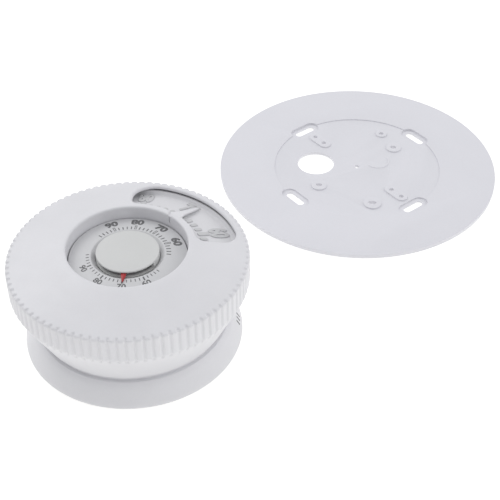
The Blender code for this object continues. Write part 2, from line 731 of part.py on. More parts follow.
def make_dial_face():
    dial = turned("dial_face", [
        (DIAL_RIDGE_RADIUS, DIAL_RIDGE),
        (DIAL_RADIUS, DIAL_EDGE),
        (DIAL_RADIUS, TOWER_TOP + GAP),
        (WELL_RADIUS + 1.2, TOWER_TOP + GAP),
        (WELL_RADIUS + 1.2, WELL_FLOOR - 1.2),
        (ARBOR_RADIUS + GAP, WELL_FLOOR - 1.2),
        (ARBOR_RADIUS + GAP, WELL_FLOOR),
        (WELL_RADIUS, WELL_FLOOR),
        (WELL_RADIUS, CAP_SLOT_BOTTOM - 0.2),
    ], MIDDLE_STEPS)
    return keep(dial, "white_dial")


def make_centre_cap():
    wall = 1.4
    cap = turned("centre_cap", [
        (0.0, CAP_TOP),
        (CAP_RADIUS - 0.4, CAP_TOP),
        (CAP_RADIUS, CAP_TOP - 0.3),
        (CAP_RADIUS, WELL_FLOOR + GAP),
        (CAP_RADIUS - wall, WELL_FLOOR + GAP),
        (CAP_RADIUS - wall, CAP_UNDERSIDE),
        (0.0, CAP_UNDERSIDE),
    ], MIDDLE_STEPS, closed=False)
    opening = sector(CAP_RADIUS - wall - 2.0, CAP_RADIUS + 2.0, *CAP_SLOT_CLOCKS, 16)
    cut(cap, prism("cap_slot", [opening], CAP_SLOT_BOTTOM, CAP_UNDERSIDE))
    return keep(cap, "white_dial")


def make_needle():
    """Red pointer on a round boss, turning with the arbor."""
    tip = at_clock(NEEDLE_TIP, NEEDLE_CLOCK)
    boss = arc(2.2, NEEDLE_CLOCK + 20.0, NEEDLE_CLOCK + 340.0, 12)
    left = tip + at_clock(0.25, NEEDLE_CLOCK - 90.0)
    right = tip + at_clock(0.25, NEEDLE_CLOCK + 90.0)
    hole = arc(ARBOR_RADIUS + GAP, 0.0, 330.0, 11)
    needle = prism("needle", [boss + [tuple(left), tuple(right)], hole], NEEDLE_BOTTOM, NEEDLE_TOP)
    return keep(needle, "needle_red")


def make_arbor():
    arbor = cylinder("needle_arbor", ARBOR_RADIUS, ARBOR_BOTTOM, NEEDLE_TOP + 0.05, steps=12)
    return keep(arbor, "brass")


def make_bimetal_coil():
    """Spiral strip; it cools and warms, and its inner end turns the arbor."""
    pieces = round(COIL_TURNS * 20)
    outside = []
    inside = []
    for index in range(pieces + 1):
        share = index / pieces
        clock = share * COIL_TURNS * 360.0
        radius = COIL_INNER + (COIL_OUTER - COIL_INNER) * share
        outside.append(tuple(at_clock(radius + COIL_STRIP / 2, clock)))
        inside.append(tuple(at_clock(radius - COIL_STRIP / 2, clock)))
    coil = prism("bimetal_coil", [outside + inside[::-1]], COIL_BOTTOM, COIL_TOP)
    return keep(coil, "bronze")


def make_coil_bracket():
    """Plate on the deck with a lower bearing for the arbor and a post for the coil's end."""
    bracket = turned("coil_bracket", [
        (12.0, 35.5), (12.0, DECK_TOP + GAP), (2.6, DECK_TOP + GAP), (2.6, 35.5),
    ], 24)
    post = cylinder("coil_post", 0.9, 35.0, COIL_TOP, at_clock(COIL_OUTER + COIL_STRIP / 2 + 1.3, 180.0), 12)
    bearing = turned("arbor_bearing", [
        (2.2, ARBOR_BOTTOM + 0.9), (2.2, DECK_TOP + GAP), (ARBOR_RADIUS + GAP, DECK_TOP + GAP),
        (ARBOR_RADIUS + GAP, ARBOR_BOTTOM + 0.9),
    ], 12)
    join(bracket, post)
    keep(bearing, "brass")
    return keep(bracket, "steel")


# ---------------------------------------------------------------- cover plate

def in_cover(radius, clock):
    """Row position of a point given in the cover plate's own clock frame."""
    x, y = at_clock(radius, clock + COVER_TURN)
    return (x + COVER_CENTRE[0], y + COVER_CENTRE[1])


def make_cover_plate():
    plate = cylinder("cover_plate", COVER_RADIUS, 0.0, COVER_TOP, COVER_CENTRE, LARGE_STEPS)
    seat = cylinder("cover_seat", SEAT_RADIUS, SEAT_TOP, COVER_TOP + 1.0, COVER_CENTRE, LARGE_STEPS)
    cut(plate, seat)
    add_cover_bosses(plate)
    for index, clock in enumerate(COVER_SLOT_CLOCKS):
        spot = in_cover(COVER_SLOT_RADIUS, clock)
        pocket = prism(f"cover_pocket_{index}", [obround(*COVER_POCKET_SIZE)],
                       COVER_POCKET_FLOOR, COVER_TOP + 1.0, spot, clock + COVER_TURN)
        slot = prism(f"cover_slot_{index}", [obround(*COVER_SLOT_SIZE)],
                     -1.0, COVER_TOP + 1.0, spot, clock + COVER_TURN)
        cut(plate, pocket, slot)
    cable = cylinder("cover_cable_hole", COVER_CABLE_RADIUS, -1.0, COVER_TOP + 1.0,
                     in_cover(COVER_CABLE_OFFSET, -88.0), HOLE_STEPS)
    centre = cylinder("cover_centre_hole", COVER_CENTRE_HOLE, -1.0, COVER_TOP + 1.0, COVER_CENTRE)
    cut(plate, cable, centre)
    return keep(plate, "white_cover")


def add_cover_bosses(plate):
    """Raised rings round the pilot holes that take the wall plate's screws."""
    for index, (radius, clock, size, length) in enumerate(COVER_BOSSES):
        spot = in_cover(radius, clock)
        join(plate, cylinder(f"cover_boss_{index}", size, 0.5, COVER_BOSS_TOP, spot))
        cut(plate, prism(f"cover_boss_hole_{index}", [obround(length, COVER_BOSS_HOLE_WIDTH, 3)],
                         -1.0, 3.0, spot, COVER_TURN))
    for index, clock in enumerate(COVER_PAIR_CLOCKS):
        pair = prism(f"cover_pair_{index}", [obround(*COVER_PAIR_SIZE)], 0.5, COVER_BOSS_TOP,
                     in_cover(COVER_PAIR_RADIUS, clock), clock + COVER_TURN - 90.0)
        join(plate, pair)
        for row, radius in enumerate(COVER_PILOT_RADII):
            hole = cylinder(f"cover_pilot_{index}_{row}", COVER_PILOT_HOLE, -1.0, 3.0,
                            in_cover(radius, clock))
            cut(plate, hole)


# ---------------------------------------------------------------- the whole object

def build():
    make_wall_plate()
    make_terminal_block("terminal_block_upper", 1)
    make_terminal_block("terminal_block_lower", -1)
    make_terminal_screws()
    make_base_skirt()
    make_chassis()
    make_circuit_board()
    make_board_parts()
    make_contact_pins()
    make_case_screws()
    make_grip_ring()
    make_ring_hub()
    make_wiper()
    make_track_board()
    make_keeper_ring()
    make_detent_spring()
    make_window_scale()
    make_dial_face()
    make_centre_cap()
    make_needle()
    make_arbor()
    make_bimetal_coil()
    make_coil_bracket()
    make_cover_plate()


build()
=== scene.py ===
import math

import bmesh
import bpy
import numpy as np
from mathutils import Matrix, Quaternion, Vector


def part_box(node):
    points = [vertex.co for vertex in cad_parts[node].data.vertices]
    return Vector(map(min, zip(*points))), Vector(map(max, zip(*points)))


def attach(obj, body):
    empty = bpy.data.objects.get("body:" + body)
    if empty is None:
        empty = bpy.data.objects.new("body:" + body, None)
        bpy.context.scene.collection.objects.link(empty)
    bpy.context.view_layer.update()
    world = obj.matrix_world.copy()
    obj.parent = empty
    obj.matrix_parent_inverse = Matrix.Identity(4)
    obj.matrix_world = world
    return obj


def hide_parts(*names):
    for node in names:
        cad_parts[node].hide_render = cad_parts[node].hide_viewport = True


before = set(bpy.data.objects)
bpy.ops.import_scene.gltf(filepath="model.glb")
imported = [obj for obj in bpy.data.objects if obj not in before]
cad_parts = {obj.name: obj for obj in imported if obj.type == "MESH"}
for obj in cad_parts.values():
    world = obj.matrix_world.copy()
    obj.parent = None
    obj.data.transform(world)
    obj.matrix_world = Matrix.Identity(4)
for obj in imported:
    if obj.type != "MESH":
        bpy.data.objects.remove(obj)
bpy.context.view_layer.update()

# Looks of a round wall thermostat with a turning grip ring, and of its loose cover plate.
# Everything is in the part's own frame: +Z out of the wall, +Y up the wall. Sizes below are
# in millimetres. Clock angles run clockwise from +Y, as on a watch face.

MM = 0.001
FINE_STEPS = 288       # facets round the large turned pieces
MEDIUM_STEPS = 192     # facets round the dial and the cap
HOLE_STEPS = 48

# ---------------------------------------------------------------- sizes, read from the frame


def extent(node):
    """Lowest and highest corner of a node, in millimetres."""
    low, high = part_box(node)
    return low / MM, high / MM


def half_width(node):
    low, high = extent(node)
    return (high.x - low.x) / 2


RING_LOW, RING_HIGH = extent("grip_ring")
RING_RADIUS = RING_HIGH.x
RING_RIM = RING_HIGH.z
RING_FOOT = RING_LOW.z
SKIRT_FOOT = extent("base_skirt")[0].z
SKIRT_FOOT_RADIUS = half_width("base_skirt")
DIAL_RADIUS = half_width("dial_face")
DIAL_RIDGE = extent("dial_face")[1].z
CAP_RADIUS = half_width("centre_cap")
CAP_FOOT, CAP_TOP = (corner.z for corner in extent("centre_cap"))
CONE_OUTER = half_width("window_scale")
COVER_LOW, COVER_HIGH = extent("cover_plate")
COVER_CENTRE = ((COVER_LOW + COVER_HIGH) / 2).to_2d()
COVER_RADIUS = half_width("cover_plate")
WALL_PLATE_RADIUS = half_width("wall_plate")
NEEDLE_BOTTOM, NEEDLE_TOP = (corner.z for corner in extent("needle"))

# Sizes inside the pieces, in the frame's own measures
RING_BORE = 27.45
RING_WALL = 2.2
RING_EDGE_TOP = 46.9
RING_GRIP_BOTTOM = 35.0
RING_FOOT_RADIUS = 45.0
SLEEVE_WALL = 1.9
SLEEVE_BOTTOM = 38.0
WINDOW_INNER = 31.5
WINDOW_OUTER = 50.8
WINDOW_SPAN = 41.5
WINDOW_INNER_CORNER = 4.5
WINDOW_OUTER_CORNERS = {-1: 11.0, 1: 7.5}   # the left end is rounder than the right
WINDOW_FILLET = 1.2
WINDOW_LIP = 1.3       # the dome is this thin round the window
WINDOW_RELIEF = 1.5    # and for this far
WINDOW_CUT_BOTTOM = 41.0
POINTER_DROP = 1.4     # how far the pointer's root lies below the dome
POINTER_SLOPE = -0.341
POINTER_THICKNESS = 0.75
NOTCH_SIZE = (0.8, 1.0)    # fine groove in the bore's wall under the pointer
NOTCH_DEPTH = 4.6

KNURL_COUNT = 90
KNURL_PITCH = 2 * math.pi * RING_RADIUS / KNURL_COUNT
KNURL_DEPTH = 0.6
KNURL_FLOOR = 0.1      # half width of a groove's flat floor
KNURL_MOUTH = 1.2      # half width of a groove where it meets the lands
KNURL_IN_DOME = 1.2    # how far the grooves run in over the dome's edge
KNURL_LOWER_END = 33.4

CONE_INNER = 30.5
CONE_MIDDLE_RADIUS = 36.0
CONE_MIDDLE_HEIGHT = 47.0
CONE_SLOPE = -0.264
CONE_THICKNESS = 1.5
CONE_RIM_START = 49.2
CONE_RIM_INNER = 50.2
CONE_RIM_TOP = 45.2
DRUM_BORE = 38.0
DRUM_RADIUS = 40.0
DRUM_TOP = 44.3

DIAL_RIDGE_RADIUS = 16.8
DIAL_EDGE = 46.4
DIAL_UNDERSIDE = 44.8
WELL_RADIUS = 14.7
WELL_FLOOR = 44.9
WELL_EDGE = 46.0
ARBOR_HOLE = 1.2
CAP_WALL = 1.4
CAP_UNDERSIDE = 48.95
CAP_SLOT_BOTTOM = 46.2
CAP_SLOT_CLOCKS = (100.5, 254.5)

NEEDLE_TIP = 19.2
NEEDLE_CLOCK = 161.0

SKIRT_NECK_RADIUS = 45.2
SKIRT_TOP = 11.5
SKIRT_WALL = 2.0
SKIRT_EDGE = 1.2       # height of the foot's upright edge
SKIRT_CURVE = 0.75     # below 1 the skirt spreads mostly near its neck
SKIRT_MARK_CLOCKS = (64.0, 67.0, 70.0)
SKIRT_MARK_HEIGHTS = (7.0, 4.2)
SKIRT_MARK_HALF = 0.5  # half width of one bar, in degrees of clock
NECK_RADIUS = 43.7     # low wall behind the gap between the skirt and the ring
NECK_TOP = 13.6
NECK_WALL = 1.5
FLOOR_BOTTOM = 9.3
FLOOR_TOP = 11.3
BOARD_REST = 14.4
POST_RADIUS = 3.4
CASE_SCREW_RADIUS = 33.0
CASE_SCREW_CLOCKS = (45.0, 135.0, 270.0)
CASE_SCREW_HOLE = 1.6
TERMINAL_XS = (-25.5, -16.5, -7.5)
PIN_Y = 21.8
PIN_PASSAGE_SIZE = (4.4, 2.2)

WALL_PLATE_TOP = 2.4
SNAP_ARM_RADIUS = 40.6
SNAP_ARM_CLOCKS = (0.0, 120.0, 240.0)
SNAP_ARM_SIZE = (7.0, 1.6)
SNAP_ARM_HEIGHT = 6.2
SNAP_HOOK_SIZE = (6.4, 1.4)
SNAP_HOOK_HEIGHTS = (4.3, 5.7)         # above the wall plate
SNAP_HOOK_REACH = 0.9
CABLE_HOLE_X = -22.0
CABLE_HOLE_RADIUS = 9.5
WALL_SLOT_RADIUS = 35.6
WALL_SLOT_CLOCKS = (20.0, 200.0)
WALL_SLOT_SIZE = (9.0, 4.2)

COVER_TOP = 2.0
COVER_TURN = -15.0
SEAT_RADIUS = 45.9
SEAT_TOP = 1.5
COVER_BOSS_TOP = 2.2
COVER_BOSS_ROOT = 0.5
COVER_CUT_TOP = 4.0
# radius, clock, boss radius, length of the hole
COVER_BOSSES = (
    (28.0, 45.0, 4.2, 3.6),
    (28.0, 225.0, 4.2, 3.6),
    (35.0, 21.0, 3.2, 2.8),
    (33.8, 163.0, 4.8, 4.6),
)
COVER_BOSS_HOLE_WIDTH = 2.4
COVER_PAIR_RADIUS = 31.4
COVER_PAIR_CLOCKS = (135.0, 315.0)
COVER_PAIR_SIZE = (15.0, 6.6)
COVER_PILOT_RADII = (28.0, 35.6)
COVER_PILOT_HOLE = 1.3
COVER_SLOT_RADIUS = 44.8
COVER_SLOT_CLOCKS = (45.0, 135.0, 225.0, 315.0)
COVER_SLOT_SIZE = (12.5, 4.0)
COVER_POCKET_SIZE = (18.0, 8.6)
COVER_POCKET_FLOOR = 0.8
COVER_CABLE_PLACE = (23.0, -88.0)      # radius, clock
COVER_CABLE_RADIUS = 10.2
COVER_CENTRE_HOLE = 1.4
KNOCKOUT_PLACE = (12.9, 60.0)          # radius, clock
KNOCKOUT_RING = (5.8, 6.7)             # inner and outer radius of the raised arc
KNOCKOUT_CLOCKS = (50.0, 225.0)
KNOCKOUT_RISE = 0.25

# Temperature scale shared by the dial and the touch window
DEGREES_PER_FAHRENHEIT = 3.0
SCALE_MIDDLE = 75.0
SCALE_LOW = 52
SCALE_HIGH = 98
SET_POINT = 68.6667
RING_CLOCK = DEGREES_PER_FAHRENHEIT * (SCALE_MIDDLE - SET_POINT)
THERMOMETER_CLOCK = 177.0
THERMOMETER_DEGREES = 3.05
MARKED = range(SCALE_LOW, SCALE_HIGH + 1, 2)   # temperatures with a bar
FIGURED = range(60, 100, 10)                   # temperatures with figures

# Marks on the window scale and on the dial
RAISED = (0.3, 0.5)        # depth below the surface and height above it
PRINTED = (0.05, 0.04)
BAR_INNER = 33.8
SCALE_FIGURE_RADIUS = 44.4
SCALE_FIGURE_SIZE = 8.2
TICK_INNER = 17.5
SET_FIGURE_RADIUS = 23.6
SET_FIGURE_SIZE = 3.7
THERMOMETER_FIGURE_RADIUS = 21.3
THERMOMETER_FIGURE_SIZE = 2.7
FONT_SIZE_FOR_HEIGHT = 1.42

ABOVE_ALL = 60.0           # top of a cutter that opens upward
CLEAR = 1.0                # how far a through cutter reaches past the material

# View, light and floor
CAMERA_PLACE = (201.2, -350.0, 393.6)
CAMERA_TARGET = (29.7, 73.8, 0.0)
CAMERA_ROLL = -0.515
CAMERA_LENS = 84.28
OBJECT_MIDDLE = (0.04, 0.09, 0.0)      # metres, where the lamps aim
BRIGHT_DIRECTION = (0.0, 0.5, 0.866)   # the sky is brightest above and behind the object
SKY_STRENGTHS = (0.42, 0.80)
FLOOR_SIZE = 6.0
FLOOR_DROP = 0.0003
FLOOR_GLOW = 0.66


# ---------------------------------------------------------------- camera, light and floor

def add_object(name, data):
    """New object in the scene."""
    thing = bpy.data.objects.new(name, data)
    bpy.context.scene.collection.objects.link(thing)
    return thing


def make_camera():
    data = bpy.data.cameras.new("view")
    data.sensor_width = 36.0
    data.lens = CAMERA_LENS
    camera = add_object("view", data)
    place = Vector(CAMERA_PLACE) * MM
    target = Vector(CAMERA_TARGET) * MM
    roll = math.radians(CAMERA_ROLL)
    aim = (target - place).to_track_quat("-Z", "Y")
    camera.location = place
    camera.rotation_mode = "QUATERNION"
    camera.rotation_quaternion = aim @ Quaternion((0.0, 0.0, 1.0), roll)
    bpy.context.scene.camera = camera


def make_softbox(name, place, size, power):
    """Square area light that looks at the middle of the object. Its place and size are in metres."""
    data = bpy.data.lights.new(name, "AREA")
    data.shape = "SQUARE"
    data.size = size
    data.energy = power
    lamp = add_object(name, data)
    lamp.location = place
    lamp.rotation_euler = (Vector(OBJECT_MIDDLE) - lamp.location).to_track_quat("-Z", "Y").to_euler()


def make_lights():
    make_softbox("key_left", (-1.1, 0.5, 1.2), 1.0, 7.0)
    make_softbox("fill_right", (1.3, 0.5, 0.9), 1.0, 4.0)
    world = bpy.data.worlds.new("studio")
    bpy.context.scene.world = world
    world.use_nodes = True
    tree = world.node_tree
    background = tree.nodes["Background"]
    background.inputs["Color"].default_value = (0.97, 0.98, 1.0, 1.0)
    direction = tree.nodes.new("ShaderNodeTexCoord")
    lean = tree.nodes.new("ShaderNodeVectorMath")
    lean.operation = "DOT_PRODUCT"
    lean.inputs[1].default_value = BRIGHT_DIRECTION
    tree.links.new(direction.outputs["Generated"], lean.inputs[0])
    strength = spread(tree, lean.outputs["Value"], *SKY_STRENGTHS, -0.8, 1.0)
    tree.links.new(strength, background.inputs["Strength"])
    bpy.context.scene.view_settings.view_transform = "Standard"


def make_floor():
    bpy.ops.mesh.primitive_plane_add(size=FLOOR_SIZE, location=(0.0, 0.0, -FLOOR_DROP))
    floor = bpy.context.object
    floor.name = "floor"
    made, shader, tree = new_material("floor_white")
    shader.inputs["Base Color"].default_value = (0.55, 0.55, 0.55, 1.0)
    shader.inputs["Roughness"].default_value = 0.9
    shader.inputs["Emission Color"].default_value = (1.0, 1.0, 0.97, 1.0)
    shader.inputs["Emission Strength"].default_value = FLOOR_GLOW
    floor.data.materials.append(made)


# ---------------------------------------------------------------- materials

def new_material(name):
    made = bpy.data.materials.new(name)
    made.use_nodes = True
    tree = made.node_tree
    return made, tree.nodes["Principled BSDF"], tree


def noise(tree, scale, detail=3.0, stretch=None):
    """Noise over the object's own coordinates; scale is features to a metre."""
    place = tree.nodes.new("ShaderNodeTexCoord")
    texture = tree.nodes.new("ShaderNodeTexNoise")
    texture.inputs["Scale"].default_value = scale
    texture.inputs["Detail"].default_value = detail
    source = place.outputs["Object"]
    if stretch:
        mapping = tree.nodes.new("ShaderNodeMapping")
        mapping.inputs["Scale"].default_value = stretch
        tree.links.new(source, mapping.inputs["Vector"])
        source = mapping.outputs["Vector"]
    tree.links.new(source, texture.inputs["Vector"])
    return texture.outputs["Fac"]


def spread(tree, value, low, high, start=0.3, end=0.7):
    """Map a noise value on to a range."""
    node = tree.nodes.new("ShaderNodeMapRange")
    node.inputs["From Min"].default_value = start
    node.inputs["From Max"].default_value = end
    node.inputs["To Min"].default_value = low
    node.inputs["To Max"].default_value = high
    tree.links.new(value, node.inputs["Value"])
    return node.outputs["Result"]


def blend_colours(tree, factor, first, second):
    node = tree.nodes.new("ShaderNodeMix")
    node.data_type = "RGBA"
    node.inputs["A"].default_value = (*first, 1.0)
    node.inputs["B"].default_value = (*second, 1.0)
    tree.links.new(factor, node.inputs["Factor"])
    return node.outputs["Result"]


def multiply_colour(tree, colour, factor):
    """Darken a colour by a factor from 0 to 1."""
    grey = tree.nodes.new("ShaderNodeCombineColor")
    for channel in ("Red", "Green", "Blue"):
        tree.links.new(factor, grey.inputs[channel])
    node = tree.nodes.new("ShaderNodeMix")
    node.data_type = "RGBA"
    node.blend_type = "MULTIPLY"
    node.inputs["Factor"].default_value = 1.0
    tree.links.new(colour, node.inputs["A"])
    tree.links.new(grey.outputs["Color"], node.inputs["B"])
    return node.outputs["Result"]


def add_bump(tree, shader, height, depth, strength=1.0):
    bump = tree.nodes.new("ShaderNodeBump")
    bump.inputs["Distance"].default_value = depth * MM
    bump.inputs["Strength"].default_value = strength
    tree.links.new(height, bump.inputs["Height"])
    tree.links.new(bump.outputs["Normal"], shader.inputs["Normal"])


def scaled(colour, factor):
    return tuple(min(1.0, channel * factor) for channel in colour)


def moulded(name, colour, roughness, grain=2200.0, depth=0.012, mottle=0.025, hollow_shade=0.06):
    """Moulded plastic: faint flow mottling, fine spark-eroded grain, and painted shade that darkens its
    grooves and hollows.
    """
    made, shader, tree = new_material(name)
    flow = spread(tree, noise(tree, 45.0, 4.0), 0.0, 1.0)
    base = blend_colours(tree, flow, scaled(colour, 1.0 - mottle), scaled(colour, 1.0 + mottle / 2))
    # Painted shade: the base colour is darkened where the surface is concave, in grooves and hollows.
    hollow = tree.nodes.new("ShaderNodeNewGeometry").outputs["Pointiness"]
    base = multiply_colour(tree, base, spread(tree, hollow, 1.0 - hollow_shade, 1.0, 0.42, 0.5))
    speck = spread(tree, noise(tree, 900.0, 2.0), 0.985, 1.0)
    tree.links.new(multiply_colour(tree, base, speck), shader.inputs["Base Color"])
    dull = spread(tree, noise(tree, 160.0, 3.0), roughness - 0.05, roughness + 0.07)
    tree.links.new(dull, shader.inputs["Roughness"])
    shader.inputs["IOR"].default_value = 1.5
    add_bump(tree, shader, noise(tree, grain, 2.0), depth)
    return made


def ink(name, colour, fade=0.35):
    """Printed ink that is a little thin in places."""
    made, shader, tree = new_material(name)
    worn = spread(tree, noise(tree, 1400.0, 2.0), 0.0, 1.0, 0.35, 0.75)
    thin = tuple(channel + (0.5 - channel) * fade for channel in colour)
    tree.links.new(blend_colours(tree, worn, colour, thin), shader.inputs["Base Color"])
    dull = spread(tree, noise(tree, 700.0, 2.0), 0.5, 0.65)
    tree.links.new(dull, shader.inputs["Roughness"])
    return made


def metal(name, colour, roughness, stretch=(1.0, 1.0, 12.0)):
    """Bare metal with fine drawn scratches and faint tarnish."""
    made, shader, tree = new_material(name)
    shader.inputs["Metallic"].default_value = 1.0
    tarnish = spread(tree, noise(tree, 220.0, 4.0), 0.0, 1.0)
    tinted = blend_colours(tree, tarnish, scaled(colour, 0.8), colour)
    tree.links.new(tinted, shader.inputs["Base Color"])
    scratches = noise(tree, 1800.0, 3.0, stretch)
    tree.links.new(spread(tree, scratches, roughness - 0.08, roughness + 0.15), shader.inputs["Roughness"])
    add_bump(tree, shader, scratches, 0.008)
    return made


def painted(name, colour, roughness):
    """Thin glossy paint with a slight orange peel."""
    made, shader, tree = new_material(name)
    patch = spread(tree, noise(tree, 900.0, 2.0), 0.0, 1.0)
    tree.links.new(blend_colours(tree, patch, scaled(colour, 0.85), colour), shader.inputs["Base Color"])
    dull = spread(tree, noise(tree, 400.0, 2.0), roughness - 0.05, roughness + 0.08)
    tree.links.new(dull, shader.inputs["Roughness"])
    add_bump(tree, shader, noise(tree, 1600.0, 2.0), 0.01)
    return made


def board_material(name):
    """Green solder mask over copper tracks."""
    made, shader, tree = new_material(name)
    place = tree.nodes.new("ShaderNodeTexCoord")
    tracks = tree.nodes.new("ShaderNodeTexBrick")
    tracks.inputs["Scale"].default_value = 130.0
    tracks.inputs["Mortar Size"].default_value = 0.09
    tracks.inputs["Color1"].default_value = (0.03, 0.17, 0.07, 1.0)
    tracks.inputs["Color2"].default_value = (0.035, 0.19, 0.08, 1.0)
    tracks.inputs["Mortar"].default_value = (0.06, 0.30, 0.12, 1.0)
    tree.links.new(place.outputs["Object"], tracks.inputs["Vector"])
    cloud = spread(tree, noise(tree, 300.0, 3.0), 0.85, 1.0)
    base = multiply_colour(tree, tracks.outputs["Color"], cloud)
    tree.links.new(base, shader.inputs["Base Color"])
    tree.links.new(spread(tree, noise(tree, 500.0, 2.0), 0.32, 0.5), shader.inputs["Roughness"])
    add_bump(tree, shader, tracks.outputs["Fac"], 0.03, 0.6)
    return made


def fibre_material(name, colour):
    """Brown phenolic board with fine paper fibres."""
    made, shader, tree = new_material(name)
    fibres = spread(tree, noise(tree, 500.0, 4.0, (1.0, 6.0, 1.0)), 0.0, 1.0)
    tree.links.new(blend_colours(tree, fibres, scaled(colour, 0.7), colour), shader.inputs["Base Color"])
    tree.links.new(spread(tree, fibres, 0.5, 0.62, 0.0, 1.0), shader.inputs["Roughness"])
    return made


WHITE_SHELL = moulded("shell_white", (0.765, 0.76, 0.785), 0.42)
WHITE_DIAL = moulded("dial_white", (0.65, 0.65, 0.66), 0.5, grain=3000.0, depth=0.006)
WHITE_CAP = moulded("cap_white", (0.665, 0.668, 0.66), 0.5, grain=2600.0, depth=0.006)
WHITE_SCALE = moulded("scale_white", (0.74, 0.735, 0.755), 0.5, grain=3000.0, depth=0.006)
WHITE_COVER = moulded("cover_white", (0.765, 0.76, 0.80), 0.5, grain=1800.0, depth=0.012, mottle=0.01)
RAISED_GREY = moulded("raised_mark_grey", (0.60, 0.60, 0.61), 0.5, grain=3000.0, depth=0.004)
GREY_PLASTIC = moulded("chassis_grey", (0.42, 0.43, 0.44), 0.55)
BLACK_PLASTIC = moulded("block_black", (0.035, 0.035, 0.037), 0.45, depth=0.01)
RELAY_BLUE = moulded("relay_blue", (0.07, 0.15, 0.36), 0.4, depth=0.006)
SENSOR_BLACK = painted("sensor_epoxy", (0.03, 0.03, 0.03), 0.25)
DIAL_INK = ink("dial_ink", (0.11, 0.11, 0.115))
NEEDLE_RED = painted("needle_red", (0.44, 0.03, 0.035), 0.4)
BOARD_GREEN = board_material("board_green")
TRACK_BROWN = fibre_material("track_brown", (0.24, 0.14, 0.07))
BRASS = metal("brass", (0.75, 0.56, 0.27), 0.3)
BRONZE = metal("bronze", (0.66, 0.44, 0.27), 0.33)
STEEL = metal("steel", (0.62, 0.62, 0.63), 0.3)
ALUMINIUM = metal("aluminium", (0.72, 0.73, 0.74), 0.32, (1.0, 1.0, 30.0))


# ---------------------------------------------------------------- shape helpers

def at_clock(radius, clock):
    angle = math.radians(clock)
    return Vector((radius * math.sin(angle), radius * math.cos(angle)))


def clean(mesh, distance):
    """Weld a mesh's points that are within a distance and turn its faces outward."""
    built = bmesh.new()
    built.from_mesh(mesh)
    bmesh.ops.remove_doubles(built, verts=built.verts, dist=distance)
    bmesh.ops.recalc_face_normals(built, faces=built.faces)
    built.to_mesh(mesh)
    built.free()


def piece_from(name, vertices, faces):
    """Mesh object from points in millimetres, welded, with its faces pointing out."""
    mesh = bpy.data.meshes.new(name)
    mesh.from_pydata([tuple(c * MM for c in vertex) for vertex in vertices], [], faces)
    clean(mesh, 0.002 * MM)
    return add_object(name, mesh)


def skin(name, points, wrap_rows, caps=False):
    """Surface over a grid of points (rows, columns, xyz) that wraps round its columns."""
    rows, columns, _ = points.shape
    faces = []
    for row in range(rows if wrap_rows else rows - 1):
        here = row * columns
        after = ((row + 1) % rows) * columns
        for column in range(columns):
            beside = (column + 1) % columns
            faces.append((here + column, after + column, after + beside, here + beside))
    if caps:
        faces.append(tuple(range(columns)))
        faces.append(tuple((rows - 1) * columns + column for column in range(columns)))
    return piece_from(name, points.reshape(-1, 3).tolist(), faces)


def rounded(corners, pieces=5):
    """Outline through corners (x, y, radius), with an arc of that radius at each corner."""
    outline = []
    for index, (x, y, radius) in enumerate(corners):
        here = Vector((x, y))
        if radius == 0.0:
            outline.append((x, y))
            continue
        before = (Vector(corners[index - 1][:2]) - here).normalized()
        after = (Vector(corners[(index + 1) % len(corners)][:2]) - here).normalized()
        half = before.angle(after) / 2
        centre = here + (before + after).normalized() * (radius / math.sin(half))
        start = here + before * (radius / math.tan(half)) - centre
        turn = start.angle_signed(here + after * (radius / math.tan(half)) - centre)
        for step in range(pieces + 1):
            spoke = start.copy()
            spoke.rotate(Matrix.Rotation(-turn * step / pieces, 2))
            outline.append(tuple(centre + spoke))
    return outline


def lathe(name, profile, steps, closed=True):
    """Turned piece from a profile of (radius, height)."""
    angles = np.linspace(0.0, 2 * math.pi, steps, endpoint=False)
    rows = [np.stack([r * np.sin(angles), r * np.cos(angles), np.full(steps, z)], axis=-1)
            for r, z in profile]
    return skin(name, np.stack(rows), closed)


def prism(name, outline, bottom, top, at=(0.0, 0.0), clock=0.0):
    """Upright solid on a flat outline, turned clockwise and moved to a place."""
    turn = math.radians(clock)
    across = Vector((math.cos(turn), -math.sin(turn)))
    along = Vector((math.sin(turn), math.cos(turn)))
    placed = [Vector(at) + across * x + along * y for x, y in outline]
    rows = [[(*point, height) for point in placed] for height in (bottom, top)]
    return skin(name, np.array(rows), False, caps=True)


def arc(radius, start, end, pieces, centre=(0.0, 0.0)):
    middle = Vector(centre)
    return [tuple(middle + at_clock(radius, start + (end - start) * index / pieces))
            for index in range(pieces + 1)]


def disc(radius, steps=HOLE_STEPS):
    return arc(radius, 0.0, 360.0 * (1.0 - 1.0 / steps), steps - 1)


def obround(length, width, pieces=14):
    reach = (length - width) / 2
    right = arc(width / 2, 0.0, 180.0, pieces, (reach, 0.0))
    return right + arc(width / 2, 180.0, 360.0, pieces, (-reach, 0.0))


def rectangle(width, height):
    x = width / 2
    y = height / 2
    return [(-x, -y), (x, -y), (x, y), (-x, y)]


def sector(inner, outer, start, end, pieces):
    return arc(outer, start, end, pieces) + arc(inner, end, start, pieces)


def evaluated_mesh(thing):
    bpy.context.view_layer.update()
    shown = thing.evaluated_get(bpy.context.evaluated_depsgraph_get())
    return bpy.data.meshes.new_from_object(shown)


def freeze(thing):
    """Apply a piece's modifiers."""
    mesh = evaluated_mesh(thing)
    thing.modifiers.clear()
    thing.data = mesh
    return thing


def carve(thing, operation, tools):
    """Cut tools out of a piece, or join them to it, and remove them."""
    for tool in tools:
        modifier = thing.modifiers.new(tool.name, "BOOLEAN")
        modifier.operation = operation
        modifier.solver = "EXACT"
        modifier.object = tool
    freeze(thing)
    for tool in tools:
        bpy.data.objects.remove(tool, do_unlink=True)
    return thing


def cut(thing, *tools):
    return carve(thing, "DIFFERENCE", tools)


def join(thing, *tools):
    return carve(thing, "UNION", tools)


